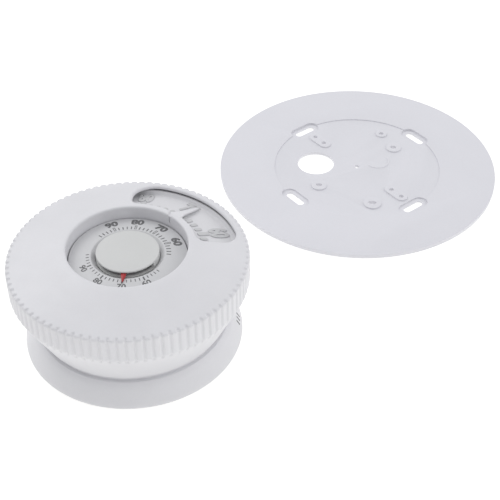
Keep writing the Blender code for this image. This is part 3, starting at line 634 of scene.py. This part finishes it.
def merge(name, things):
    """One object from several, without joining their surfaces."""
    built = bmesh.new()
    for thing in things:
        built.from_mesh(thing.data)
        bpy.data.objects.remove(thing, do_unlink=True)
    mesh = bpy.data.meshes.new(name)
    built.to_mesh(mesh)
    built.free()
    return add_object(name, mesh)


def soften(thing, width, segments=3, angle=30.0):
    """Round a piece's sharp edges."""
    bevel = thing.modifiers.new("soft_edges", "BEVEL")
    bevel.width = width * MM
    bevel.segments = segments
    bevel.limit_method = "ANGLE"
    bevel.angle_limit = math.radians(angle)
    bevel.use_clamp_overlap = True
    return freeze(thing)


def finish_piece(thing, material, slot, body, *nodes, crease=32.0):
    """Give a piece its material and its body, and hide the nodes it stands for."""
    thing.data.materials.clear()
    thing.data.materials.append(material)
    thing.data.shade_smooth()
    thing.data.set_sharp_from_angle(angle=math.radians(crease))
    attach(thing, body)
    if nodes:
        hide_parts(*nodes)
    return thing


# ---------------------------------------------------------------- grip ring

def dome_height(radius):
    share = (radius - RING_BORE) / (RING_RADIUS - RING_BORE)
    return RING_RIM + (RING_EDGE_TOP - RING_RIM) * share


def refine(outline, spacing):
    """Add points to the straight runs of a closed outline, at a spacing that depends on place."""
    points = []
    for index, (x, y) in enumerate(outline):
        here = Vector((x, y))
        run = Vector(outline[(index + 1) % len(outline)]) - here
        travelled = 0.0
        while travelled < run.length:
            place = here + run.normalized() * travelled
            points.append(place)
            step = spacing(place)
            travelled += step if run.length - travelled > 1.4 * step else run.length
    return points


def ring_profile():
    inside = RING_RADIUS - RING_WALL
    sleeve = RING_BORE + SLEEVE_WALL
    corners = [
        (RING_BORE, RING_RIM, 0.9),
        (RING_RADIUS, RING_EDGE_TOP, 1.2),
        (RING_RADIUS, RING_GRIP_BOTTOM, 2.0),
        (RING_FOOT_RADIUS, RING_FOOT, 0.6),
        (RING_FOOT_RADIUS - RING_WALL, RING_FOOT, 0.5),
        (inside, RING_GRIP_BOTTOM + 0.8, 1.0),
        (inside, dome_height(inside) - RING_WALL, 1.0),
        (sleeve, dome_height(sleeve) - RING_WALL, 0.6),
        (sleeve, SLEEVE_BOTTOM, 0.3),
        (RING_BORE, SLEEVE_BOTTOM, 0.3),
    ]

    climb = (KNURL_LOWER_END - RING_FOOT) / (RING_GRIP_BOTTOM - RING_FOOT)
    upper_end = Vector((RING_RADIUS - KNURL_IN_DOME, dome_height(RING_RADIUS - KNURL_IN_DOME)))
    lower_end = Vector((RING_FOOT_RADIUS + (RING_RADIUS - RING_FOOT_RADIUS) * climb, KNURL_LOWER_END))

    def spacing(place):
        away = min((place - upper_end).length, (place - lower_end).length)
        return min(max((away - 1.2) * 0.7, 0.33), 3.0)

    return refine(rounded(corners), spacing)


def knurl_offsets():
    """Distances across one groove's pitch, closer together over the groove's sides."""
    near = (0.0, 0.2, 0.4, 0.6, 0.8, 1.0, 1.2, 1.5)
    return [-KNURL_PITCH / 2] + [-distance for distance in near[:0:-1]] + list(near)


def knurl_strength(across, along, start, end):
    """How deep a groove is at a point: 1 on its floor, 0 on the lands. Its ends are round."""
    beyond = max(start - along, 0.0, along - end)
    distance = math.hypot(across, beyond)
    share = (KNURL_MOUTH - distance) / (KNURL_MOUTH - KNURL_FLOOR)
    share = min(max(share, 0.0), 1.0)
    return share * share * (3.0 - 2.0 * share)


def ring_grid():
    """Points of the ring: its turned profile, with the grooves pressed in along its surface."""
    profile = ring_profile()
    count = len(profile)
    lengths = [0.0]
    for first, second in zip(profile, profile[1:]):
        lengths.append(lengths[-1] + (second - first).length)
    start = next(length for length, place in zip(lengths, profile)
                 if place.x > RING_RADIUS - KNURL_IN_DOME and place.y > RING_EDGE_TOP - 2.0)
    end = next(length for length, place in zip(lengths, profile)
               if length > start and place.y < KNURL_LOWER_END)
    offsets = knurl_offsets()
    grid = np.zeros((count, KNURL_COUNT * len(offsets), 3))
    for row, here in enumerate(profile):
        way = (profile[(row + 1) % count] - profile[row - 1]).normalized()
        outward = Vector((-way.y, way.x))
        for place, across in enumerate(offsets):
            depth = KNURL_DEPTH * knurl_strength(across, lengths[row], start, end)
            radius, height = here - outward * depth
            for groove in range(KNURL_COUNT):
                clock = RING_CLOCK + (groove + across / KNURL_PITCH) * 360.0 / KNURL_COUNT
                grid[row, groove * len(offsets) + place] = (*at_clock(radius, clock), height)
    return grid


def window_half(side):
    """Outline of the touch window on one side of clock 0, from its outer to its inner edge."""
    outer_corner = WINDOW_OUTER_CORNERS[side]
    outer_centre = WINDOW_OUTER - outer_corner
    inner_centre = WINDOW_INNER + WINDOW_INNER_CORNER
    outer_end = WINDOW_SPAN - math.degrees(math.asin(outer_corner / outer_centre))
    inner_end = WINDOW_SPAN - math.degrees(math.asin(WINDOW_INNER_CORNER / inner_centre))
    points = arc(WINDOW_OUTER, 0.0, outer_end, 28)
    points += arc(outer_corner, outer_end, WINDOW_SPAN + 90.0, 16, at_clock(outer_centre, outer_end))[1:]
    points += arc(WINDOW_INNER_CORNER, WINDOW_SPAN + 90.0, inner_end + 180.0, 10,
                  at_clock(inner_centre, inner_end))
    points += arc(WINDOW_INNER, inner_end, 0.0, 20)[1:]
    return [(side * x, y) for x, y in points]


def window_outline():
    left = window_half(-1)
    return window_half(1) + left[-2:0:-1]


def outward_normals(outline):
    """Unit normals of a closed outline, pointing away from its inside."""
    area = sum(a[0] * b[1] - b[0] * a[1] for a, b in zip(outline, outline[1:] + outline[:1]))
    sign = 1.0 if area > 0.0 else -1.0
    normals = []
    for index in range(len(outline)):
        before = Vector(outline[index - 1])
        after = Vector(outline[(index + 1) % len(outline)])
        way = (after - before).normalized()
        normals.append(Vector((way.y, -way.x)) * sign)
    return normals


def turn_with_ring(thing):
    """Turn a tool from the pointer's own frame to where the ring stands at rest."""
    thing.data.transform(Matrix.Rotation(math.radians(-RING_CLOCK), 4, "Z"))
    return thing


def window_tool(name, stages):
    """Tool on the window's outline; each stage is (offset, depth below the dome, or fixed height)."""
    outline = window_outline()
    normals = outward_normals(outline)
    rows = []
    for offset, depth, height in stages:
        row = []
        for (x, y), normal in zip(outline, normals):
            place = Vector((x, y)) + normal * offset
            row.append((*place, dome_height(place.length) - depth if height is None else height))
        rows.append(row)
    return turn_with_ring(skin(name, np.array(rows), False, caps=True))


def window_cutter():
    """The window, flared at the dome into a rounded edge."""
    stages = [(0.0, None, WINDOW_CUT_BOTTOM), (0.0, WINDOW_FILLET, None)]
    for step in range(1, 7):
        angle = math.radians(80.0 * step / 6)
        offset = WINDOW_FILLET * (1.0 - math.cos(angle))
        depth = WINDOW_FILLET * (1.0 - math.sin(angle))
        stages.append((offset, depth, None))
    stages.append((WINDOW_FILLET * 1.1, None, ABOVE_ALL))
    return window_tool("touch_window", stages)


def window_relief():
    """Cut from below that leaves a thin lip round the window."""
    stages = [(WINDOW_RELIEF, None, WINDOW_CUT_BOTTOM), (WINDOW_RELIEF, WINDOW_LIP, None)]
    return window_tool("window_relief", stages)


def pointer_height(radius):
    return dome_height(WINDOW_INNER) - POINTER_DROP + POINTER_SLOPE * (radius - WINDOW_INNER)


def pointer_recess():
    """Cutter that opens the dome as a V from the bore's rim down to the pointer's root."""
    rows = []
    # along the pointer, half width
    for along, half in ((25.0, 0.3), (27.4, 0.5), (29.5, 1.9), (31.4, 3.2), (33.0, 3.3)):
        bottom = pointer_height(along) + 0.02
        surface = max(dome_height(along), bottom + 0.5)
        right = [(half, along, bottom), (half + 0.12, along, bottom + (surface - bottom) * 0.6),
                 (half + 0.4, along, surface + 0.05), (half + 0.45, along, ABOVE_ALL)]
        left = [(-x, y, z) for x, y, z in reversed(right)]
        rows.append(right + left)
    return turn_with_ring(skin("pointer_recess", np.array(rows), False, caps=True))


def bore_notch():
    """Fine upright groove in the bore's wall below the pointer."""
    notch = prism("bore_notch", rectangle(*NOTCH_SIZE), RING_RIM - NOTCH_DEPTH, ABOVE_ALL, (0.0, RING_BORE))
    return turn_with_ring(notch)


def pointer_blade():
    """Tapered pointer that slopes from the window's inner edge down to the raised scale."""
    rows = []
    # along the pointer, half width
    stations = ((29.6, 2.3), (31.3, 3.25), (31.9, 3.35), (33.0, 2.9), (34.5, 2.2), (36.0, 1.75),
                (38.0, 1.5), (42.0, 1.1), (45.0, 0.75), (46.4, 0.5), (47.0, 0.2))
    for along, half in stations:
        top = pointer_height(along)
        chamfer = min(0.15, half / 2)
        right = [(half, along, top - POINTER_THICKNESS), (half, along, top - chamfer),
                 (half - chamfer, along, top)]
        left = [(-x, y, z) for x, y, z in reversed(right)]
        rows.append(right + left)
    return turn_with_ring(skin("pointer_blade", np.array(rows), False, caps=True))


def make_ring():
    ring = skin("ring_shell", ring_grid(), True)
    cut(ring, window_relief(), window_cutter(), pointer_recess(), bore_notch())
    ring = merge("ring_shell", [ring, pointer_blade()])
    finish_piece(ring, WHITE_SHELL, "white_shell", "set_ring", "grip_ring", crease=28.0)


# ---------------------------------------------------------------- window scale

def cone_height(radius):
    return CONE_MIDDLE_HEIGHT + CONE_SLOPE * (radius - CONE_MIDDLE_RADIUS)


def make_scale_cone():
    under = CONE_THICKNESS
    corners = [
        (CONE_INNER, cone_height(CONE_INNER), 0.3),
        (CONE_RIM_START, cone_height(CONE_RIM_START), 1.3),
        (CONE_RIM_INNER, CONE_RIM_TOP, 0.2),
        (CONE_OUTER, CONE_RIM_TOP, 0.2),
        (CONE_OUTER, cone_height(CONE_OUTER) - under, 0.3),
        (DRUM_RADIUS, cone_height(DRUM_RADIUS) - under, 0.2),
        (DRUM_RADIUS, DRUM_TOP, 0.0),
        (DRUM_BORE, DRUM_TOP, 0.0),
        (DRUM_BORE, cone_height(DRUM_BORE) - under, 0.2),
        (CONE_INNER, cone_height(CONE_INNER) - under, 0.3),
    ]
    cone = lathe("scale_cone", rounded(corners, 3), FINE_STEPS)
    finish_piece(cone, WHITE_SCALE, "white_scale", "thermostat", "window_scale")


def scale_clock(temperature):
    return DEGREES_PER_FAHRENHEIT * (SCALE_MIDDLE - temperature)


def bar_points(clock, inner, outer, width):
    """Plan outline of a straight bar that points at the centre."""
    along = at_clock(1.0, clock)
    across = Vector((along.y, -along.x))
    corners = ((inner, -1), (inner, 1), (outer, 1), (outer, -1))
    return [along * radius + across * (width / 2 * side) for radius, side in corners]


def rounded_bar(clock, inner, outer, width, corner):
    return [Vector(point) for point in
            rounded([(*point, corner) for point in bar_points(clock, inner, outer, width)], 4)]


def slab(points, surface, below, above, shrink=0.0):
    """Vertices and faces of a thin slab that follows a turned surface."""
    middle = sum(points, Vector((0.0, 0.0))) / len(points)
    low = [(*point, surface(point.length) - below) for point in points]
    high = [(*point.lerp(middle, shrink), surface(point.length) + above) for point in points]
    count = len(points)
    faces = [tuple(range(count)), tuple(range(count, 2 * count))]
    faces += [(i, (i + 1) % count, count + (i + 1) % count, count + i) for i in range(count)]
    return low + high, faces


def slabs(name, outlines, surface, below, above, shrink=0.0):
    vertices = []
    faces = []
    for points in outlines:
        more, sides = slab(points, surface, below, above, shrink)
        faces += [tuple(index + len(vertices) for index in side) for side in sides]
        vertices += more
    return piece_from(name, vertices, faces)


def figure(text, size, clock, radius, surface, below, above,
           inward=False, weight=0.0, squeeze=1.0, edge=0.0):
    """Figures bent round a turned surface, tops outward unless inward is set."""
    curve = bpy.data.curves.new("figure", "FONT")
    curve.body = text
    curve.size = size * FONT_SIZE_FOR_HEIGHT * MM
    curve.align_x = "CENTER"
    curve.align_y = "CENTER"
    curve.offset = weight * MM
    curve.extrude = 0.5
    curve.bevel_depth = edge * MM
    curve.resolution_u = 4
    drawn = add_object("figure", curve)
    mesh = evaluated_mesh(drawn)
    bpy.data.objects.remove(drawn, do_unlink=True)
    bpy.data.curves.remove(curve)
    way = -1.0 if inward else 1.0
    reach = max(vertex.co.z for vertex in mesh.vertices)
    tops = max(vertex.co.y for vertex in mesh.vertices)
    bottoms = min(vertex.co.y for vertex in mesh.vertices)
    for vertex in mesh.vertices:
        across = vertex.co.x / MM * squeeze
        upward = (vertex.co.y - (tops + bottoms) / 2) / MM
        place = radius + way * upward
        spot = at_clock(place, clock + way * math.degrees(across / radius))
        lift = above - (reach - vertex.co.z) / MM if vertex.co.z > 0.0 else -below
        vertex.co = Vector((*spot, surface(place) + lift)) * MM
    clean(mesh, 0.001 * MM)
    return add_object("figure", mesh)


def make_scale_marks():
    """Raised bars every two degrees, longer at the tens, with raised figures to feel."""
    short = []
    long = []
    for temperature in MARKED:
        clock = scale_clock(temperature)
        if temperature % 10:
            short.append(rounded_bar(clock, BAR_INNER, 37.6, 2.2, 0.85))
        else:
            long.append(rounded_bar(clock, BAR_INNER, 39.8, 2.7, 0.9))
    bars = slabs("scale_bars", short + long, cone_height, *RAISED, shrink=0.06)
    things = [soften(bars, 0.2, 3, 50.0)]
    for temperature in FIGURED:
        things.append(figure(str(temperature), SCALE_FIGURE_SIZE, scale_clock(temperature),
                             SCALE_FIGURE_RADIUS, cone_height, *RAISED,
                             weight=0.42, squeeze=0.62, edge=0.14))
    marks = merge("scale_marks", things)
    finish_piece(marks, RAISED_GREY, "white_scale", "thermostat", crease=40.0)


# ---------------------------------------------------------------- dial, cap and needle

def dial_height(radius):
    share = (radius - DIAL_RIDGE_RADIUS) / (DIAL_RADIUS - DIAL_RIDGE_RADIUS)
    return DIAL_RIDGE + (DIAL_EDGE - DIAL_RIDGE) * share


def make_dial():
    skirt_radius = WELL_RADIUS + 1.2
    corners = [
        (DIAL_RIDGE_RADIUS, DIAL_RIDGE, 0.5),
        (DIAL_RADIUS, DIAL_EDGE, 0.3),
        (DIAL_RADIUS, DIAL_UNDERSIDE, 0.2),
        (skirt_radius, DIAL_UNDERSIDE, 0.2),
        (skirt_radius, WELL_FLOOR - 1.2, 0.2),
        (ARBOR_HOLE, WELL_FLOOR - 1.2, 0.1),
        (ARBOR_HOLE, WELL_FLOOR, 0.1),
        (WELL_RADIUS, WELL_FLOOR, 0.2),
        (WELL_RADIUS, WELL_EDGE, 0.2),
    ]
    dial = lathe("dial_plate", rounded(corners, 4), MEDIUM_STEPS)
    finish_piece(dial, WHITE_DIAL, "white_dial", "thermostat", "dial_face")


def thermometer_clock(temperature):
    return THERMOMETER_CLOCK + THERMOMETER_DEGREES * (temperature - SCALE_MIDDLE)


def hollow_bar(clock, inner, outer, width, line):
    """Outlined bar, as four thin strips."""
    half = (width - line) / 2
    along = at_clock(1.0, clock)
    across = Vector((along.y, -along.x))
    sides = []
    for shift in (-half, half):
        sides.append([point + across * shift for point in bar_points(clock, inner, outer, line)])
    ends = [bar_points(clock, inner, inner + line, width - 2 * line),
            bar_points(clock, outer - line, outer, width - 2 * line)]
    return sides + ends


def make_dial_print():
    """Printed set-point scale above the cap and printed thermometer scale below it."""
    outlines = []
    for temperature in MARKED:
        if temperature % 10:
            outlines.append(bar_points(scale_clock(temperature), TICK_INNER, 19.6, 0.52))
            outlines.append(bar_points(thermometer_clock(temperature), TICK_INNER, 19.0, 0.42))
        else:
            outlines += hollow_bar(scale_clock(temperature), TICK_INNER, 20.6, 1.05, 0.3)
            outlines.append(bar_points(thermometer_clock(temperature), TICK_INNER, 19.6, 0.7))
    things = [slabs("dial_ticks", outlines, dial_height, *PRINTED)]
    for temperature in FIGURED:
        things.append(figure(str(temperature), SET_FIGURE_SIZE, scale_clock(temperature),
                             SET_FIGURE_RADIUS, dial_height, *PRINTED, weight=0.26, squeeze=1.12))
        things.append(figure(str(temperature), THERMOMETER_FIGURE_SIZE, thermometer_clock(temperature),
                             THERMOMETER_FIGURE_RADIUS, dial_height, *PRINTED,
                             inward=True, weight=0.1, squeeze=1.1))
    marks = merge("dial_print", things)
    finish_piece(marks, DIAL_INK, "black_plastic", "thermostat")


def make_cap():
    corners = [
        (0.0, CAP_TOP, 0.0),
        (CAP_RADIUS, CAP_TOP, 0.45),
        (CAP_RADIUS, CAP_FOOT, 0.15),
        (CAP_RADIUS - CAP_WALL, CAP_FOOT, 0.15),
        (CAP_RADIUS - CAP_WALL, CAP_UNDERSIDE, 0.3),
        (0.0, CAP_UNDERSIDE, 0.0),
    ]
    cap = lathe("cap_disc", rounded(corners), MEDIUM_STEPS, closed=False)
    opening = sector(CAP_RADIUS - CAP_WALL - 1.5, CAP_RADIUS + 1.5, *CAP_SLOT_CLOCKS, 60)
    cut(cap, prism("cap_slot", opening, CAP_SLOT_BOTTOM, CAP_UNDERSIDE - 0.02))
    finish_piece(cap, WHITE_CAP, "white_dial", "thermostat", "centre_cap")


def make_needle():
    """Tapered red pointer with a raised spine, bent down a little past the dial's ridge."""
    # along the needle, half width, drop
    stations = ((-3.4, 1.0, 0.0), (-2.0, 1.9, 0.0), (0.0, 2.3, 0.0), (2.0, 1.9, 0.0), (3.4, 1.2, 0.0),
                (9.0, 1.1, 0.0), (13.6, 1.25, 0.0), (14.8, 1.2, 0.0), (16.2, 0.95, 0.04),
                (17.6, 0.6, 0.16), (NEEDLE_TIP, 0.22, 0.32))
    rows = []
    for along, half, drop in stations:
        bottom = NEEDLE_BOTTOM - drop
        top = NEEDLE_TOP - drop
        spine = min(0.12, half * 0.3)
        right = [(half, along, bottom), (half, along, top - 0.15), (half * 0.45, along, top)]
        left = [(-x, y, z) for x, y, z in reversed(right)]
        rows.append(right + [(0.0, along, top + spine * 0.3)] + left)
    needle = skin("pointer_needle", np.array(rows), False, caps=True)
    needle.data.transform(Matrix.Rotation(math.radians(-NEEDLE_CLOCK), 4, "Z"))
    cut(needle, prism("needle_hole", disc(ARBOR_HOLE, 24), NEEDLE_BOTTOM - CLEAR, NEEDLE_TOP + CLEAR))
    finish_piece(needle, NEEDLE_RED, "needle_red", "thermometer_needle", "needle")


# ---------------------------------------------------------------- base skirt and wall plate

def flare_radius(share):
    """Outer radius of the skirt, at a share of the way down from its neck to its foot's edge."""
    return SKIRT_NECK_RADIUS + (SKIRT_FOOT_RADIUS - SKIRT_NECK_RADIUS) * share ** SKIRT_CURVE


def make_skirt():
    flare = []
    for index in range(13):
        share = index / 12
        flare.append((flare_radius(share), SKIRT_TOP + (SKIRT_FOOT + SKIRT_EDGE - SKIRT_TOP) * share))
    inner = [(radius - SKIRT_WALL, height) for radius, height in reversed(flare)
             if height < FLOOR_BOTTOM - 0.3]
    foot = rounded([(flare[-1][0], flare[-1][1], 0.0), (SKIRT_FOOT_RADIUS, SKIRT_FOOT, 0.5),
                    (SKIRT_FOOT_RADIUS - SKIRT_WALL, SKIRT_FOOT, 0.4), (inner[0][0], inner[0][1], 0.0)])
    neck = rounded([(NECK_RADIUS - NECK_WALL, FLOOR_TOP, 0.0), (NECK_RADIUS - NECK_WALL, NECK_TOP, 0.2),
                    (NECK_RADIUS, NECK_TOP, 0.3), (NECK_RADIUS, SKIRT_TOP, 0.2),
                    (SKIRT_NECK_RADIUS, SKIRT_TOP, 0.3), (flare[2][0], flare[2][1], 0.0)], 4)
    profile = [(0.0, FLOOR_TOP), *neck, *flare[3:-1], *foot, *inner[1:],
               (inner[-1][0] - 0.8, FLOOR_BOTTOM), (0.0, FLOOR_BOTTOM)]
    skirt = lathe("skirt_shell", profile, FINE_STEPS, closed=False)
    posts = []
    holes = []
    for index, clock in enumerate(CASE_SCREW_CLOCKS):
        spot = at_clock(CASE_SCREW_RADIUS, clock)
        posts.append(prism(f"post_{index}", disc(POST_RADIUS, 36), FLOOR_TOP - CLEAR, BOARD_REST, spot))
        holes.append(prism(f"hole_{index}", disc(CASE_SCREW_HOLE, 24), FLOOR_BOTTOM - CLEAR,
                           BOARD_REST + CLEAR, spot))
    for side in (1, -1):
        for index, x in enumerate(TERMINAL_XS):
            holes.append(prism(f"passage_{side}_{index}", rectangle(*PIN_PASSAGE_SIZE),
                               FLOOR_BOTTOM - CLEAR, FLOOR_TOP + CLEAR, (x, side * PIN_Y)))
    join(skirt, *posts)
    cut(skirt, *holes)
    finish_piece(skirt, WHITE_SHELL, "white_shell", "thermostat", "base_skirt", crease=40.0)


def make_skirt_mark():
    """Three short printed bars low on the skirt's right side."""
    below, above = PRINTED
    vertices = []
    faces = []
    for clock in SKIRT_MARK_CLOCKS:
        start = len(vertices)
        for height in SKIRT_MARK_HEIGHTS:
            radius = flare_radius((SKIRT_TOP - height) / (SKIRT_TOP - SKIRT_FOOT - SKIRT_EDGE))
            for turn in (-SKIRT_MARK_HALF, SKIRT_MARK_HALF):
                for lift in (-below, above):
                    vertices.append((*at_clock(radius + lift, clock + turn), height))
        for side in ((0, 1, 3, 2), (4, 6, 7, 5), (0, 2, 6, 4), (1, 5, 7, 3), (0, 4, 5, 1), (2, 3, 7, 6)):
            faces.append(tuple(start + index for index in side))
    mark = piece_from("skirt_mark", vertices, faces)
    finish_piece(mark, DIAL_INK, "black_plastic", "thermostat")


def make_wall_base():
    base = prism("wall_base", disc(WALL_PLATE_RADIUS, FINE_STEPS), 0.0, WALL_PLATE_TOP)
    for index, clock in enumerate(SNAP_ARM_CLOCKS):
        arm = prism(f"arm_{index}", rectangle(*SNAP_ARM_SIZE), WALL_PLATE_TOP - CLEAR,
                    WALL_PLATE_TOP + SNAP_ARM_HEIGHT, at_clock(SNAP_ARM_RADIUS, clock), clock)
        hook_bottom, hook_top = (WALL_PLATE_TOP + height for height in SNAP_HOOK_HEIGHTS)
        hook = prism(f"hook_{index}", rectangle(*SNAP_HOOK_SIZE), hook_bottom, hook_top,
                     at_clock(SNAP_ARM_RADIUS + SNAP_HOOK_REACH, clock), clock)
        join(base, arm, hook)
    cable = prism("cable", disc(CABLE_HOLE_RADIUS, 72), -CLEAR, WALL_PLATE_TOP + CLEAR, (CABLE_HOLE_X, 0.0))
    slots = [prism(f"slot_{index}", obround(*WALL_SLOT_SIZE), -CLEAR, WALL_PLATE_TOP + CLEAR,
                   at_clock(WALL_SLOT_RADIUS, clock), clock)
             for index, clock in enumerate(WALL_SLOT_CLOCKS)]
    cut(base, cable, *slots)
    soften(base, 0.3)
    finish_piece(base, GREY_PLASTIC, "grey_plastic", "wall_plate", "wall_plate")


# ---------------------------------------------------------------- cover plate

def in_cover(radius, clock):
    """Place of a point given in the cover plate's own clock frame."""
    return COVER_CENTRE + at_clock(radius, clock + COVER_TURN)


def cover_boss(name, outline, spot, clock=0.0, top=COVER_BOSS_TOP):
    """Raised shape on the cover plate's seat."""
    return prism(name, outline, COVER_BOSS_ROOT, top, spot, clock)


def cover_hole(name, outline, spot, clock=0.0, bottom=-CLEAR):
    """Cutter through the cover plate, or down to a floor."""
    return prism(name, outline, bottom, COVER_CUT_TOP, spot, clock)


def make_cover():
    plate = prism("cover_disc", disc(COVER_RADIUS, FINE_STEPS), 0.0, COVER_TOP, COVER_CENTRE)
    cut(plate, prism("seat", disc(SEAT_RADIUS, FINE_STEPS), SEAT_TOP, COVER_TOP + CLEAR, COVER_CENTRE))
    bosses = []
    holes = []
    for index, (radius, clock, size, length) in enumerate(COVER_BOSSES):
        spot = in_cover(radius, clock)
        bosses.append(cover_boss(f"boss_{index}", disc(size), spot))
        holes.append(cover_hole(f"boss_hole_{index}", obround(length, COVER_BOSS_HOLE_WIDTH, 8), spot,
                                COVER_TURN))
    for index, clock in enumerate(COVER_PAIR_CLOCKS):
        bosses.append(cover_boss(f"pair_{index}", obround(*COVER_PAIR_SIZE),
                                 in_cover(COVER_PAIR_RADIUS, clock), clock + COVER_TURN - 90.0))
        for row, radius in enumerate(COVER_PILOT_RADII):
            holes.append(cover_hole(f"pilot_{index}_{row}", disc(COVER_PILOT_HOLE, 24),
                                    in_cover(radius, clock)))
    bosses.append(cover_boss("knockout_mark", sector(*KNOCKOUT_RING, *KNOCKOUT_CLOCKS, 28),
                             in_cover(*KNOCKOUT_PLACE), COVER_TURN, SEAT_TOP + KNOCKOUT_RISE))
    for index, clock in enumerate(COVER_SLOT_CLOCKS):
        spot = in_cover(COVER_SLOT_RADIUS, clock)
        turn = clock + COVER_TURN
        holes.append(cover_hole(f"pocket_{index}", obround(*COVER_POCKET_SIZE), spot, turn,
                                COVER_POCKET_FLOOR))
        holes.append(cover_hole(f"slot_{index}", obround(*COVER_SLOT_SIZE), spot, turn))
    holes.append(cover_hole("cable", disc(COVER_CABLE_RADIUS, 72), in_cover(*COVER_CABLE_PLACE)))
    holes.append(cover_hole("centre", disc(COVER_CENTRE_HOLE, 24), COVER_CENTRE))
    join(plate, *bosses)
    cut(plate, *holes)
    soften(plate, 0.22)
    finish_piece(plate, WHITE_COVER, "white_cover", "cover", "cover_plate")


# ---------------------------------------------------------------- carried-over nodes

NODE_MATERIALS = {
    "chassis": WHITE_SHELL,
    "ring_hub": GREY_PLASTIC,
    "terminal_block_upper": BLACK_PLASTIC,
    "terminal_block_lower": BLACK_PLASTIC,
    "microcontroller": BLACK_PLASTIC,
    "heat_relay": RELAY_BLUE,
    "cool_relay": RELAY_BLUE,
    "circuit_board": BOARD_GREEN,
    "track_board": TRACK_BROWN,
    "thermistor": SENSOR_BLACK,
    "needle_arbor": BRASS,
    "arbor_bearing": BRASS,
    "wiper": BRONZE,
    "bimetal_coil": BRONZE,
    "detent_spring": STEEL,
    "coil_bracket": STEEL,
    "keeper_ring": STEEL,
}
FAMILY_MATERIALS = {
    "terminal_screw": BRASS,
    "contact_pin": BRASS,
    "case_screw": STEEL,
    "keeper_screw": STEEL,
    "capacitor": ALUMINIUM,
}


def dress_node(node, material):
    """Weld a carried-over node's split edges, round them and give it its material."""
    for place in node.material_slots:
        place.material = material
    weld = node.modifiers.new("weld", "WELD")
    weld.merge_threshold = 0.00001
    flatten = node.modifiers.new("flatten", "DECIMATE")
    flatten.decimate_type = "DISSOLVE"
    flatten.angle_limit = math.radians(1.0)
    bevel = node.modifiers.new("soft_edges", "BEVEL")
    bevel.width = 0.12 * MM
    bevel.segments = 2
    bevel.limit_method = "ANGLE"
    bevel.angle_limit = math.radians(35.0)


def dress_nodes():
    for name, material in NODE_MATERIALS.items():
        dress_node(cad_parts[name], material)
    for family, material in FAMILY_MATERIALS.items():
        for name, node in sorted(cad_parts.items()):
            if name.rpartition("_")[0] == family:
                dress_node(node, material)


# ---------------------------------------------------------------- the whole scene

def build():
    make_camera()
    make_lights()
    make_floor()
    make_ring()
    make_scale_cone()
    make_scale_marks()
    make_dial()
    make_dial_print()
    make_cap()
    make_needle()
    make_skirt()
    make_skirt_mark()
    make_wall_base()
    make_cover()
    dress_nodes()


build()
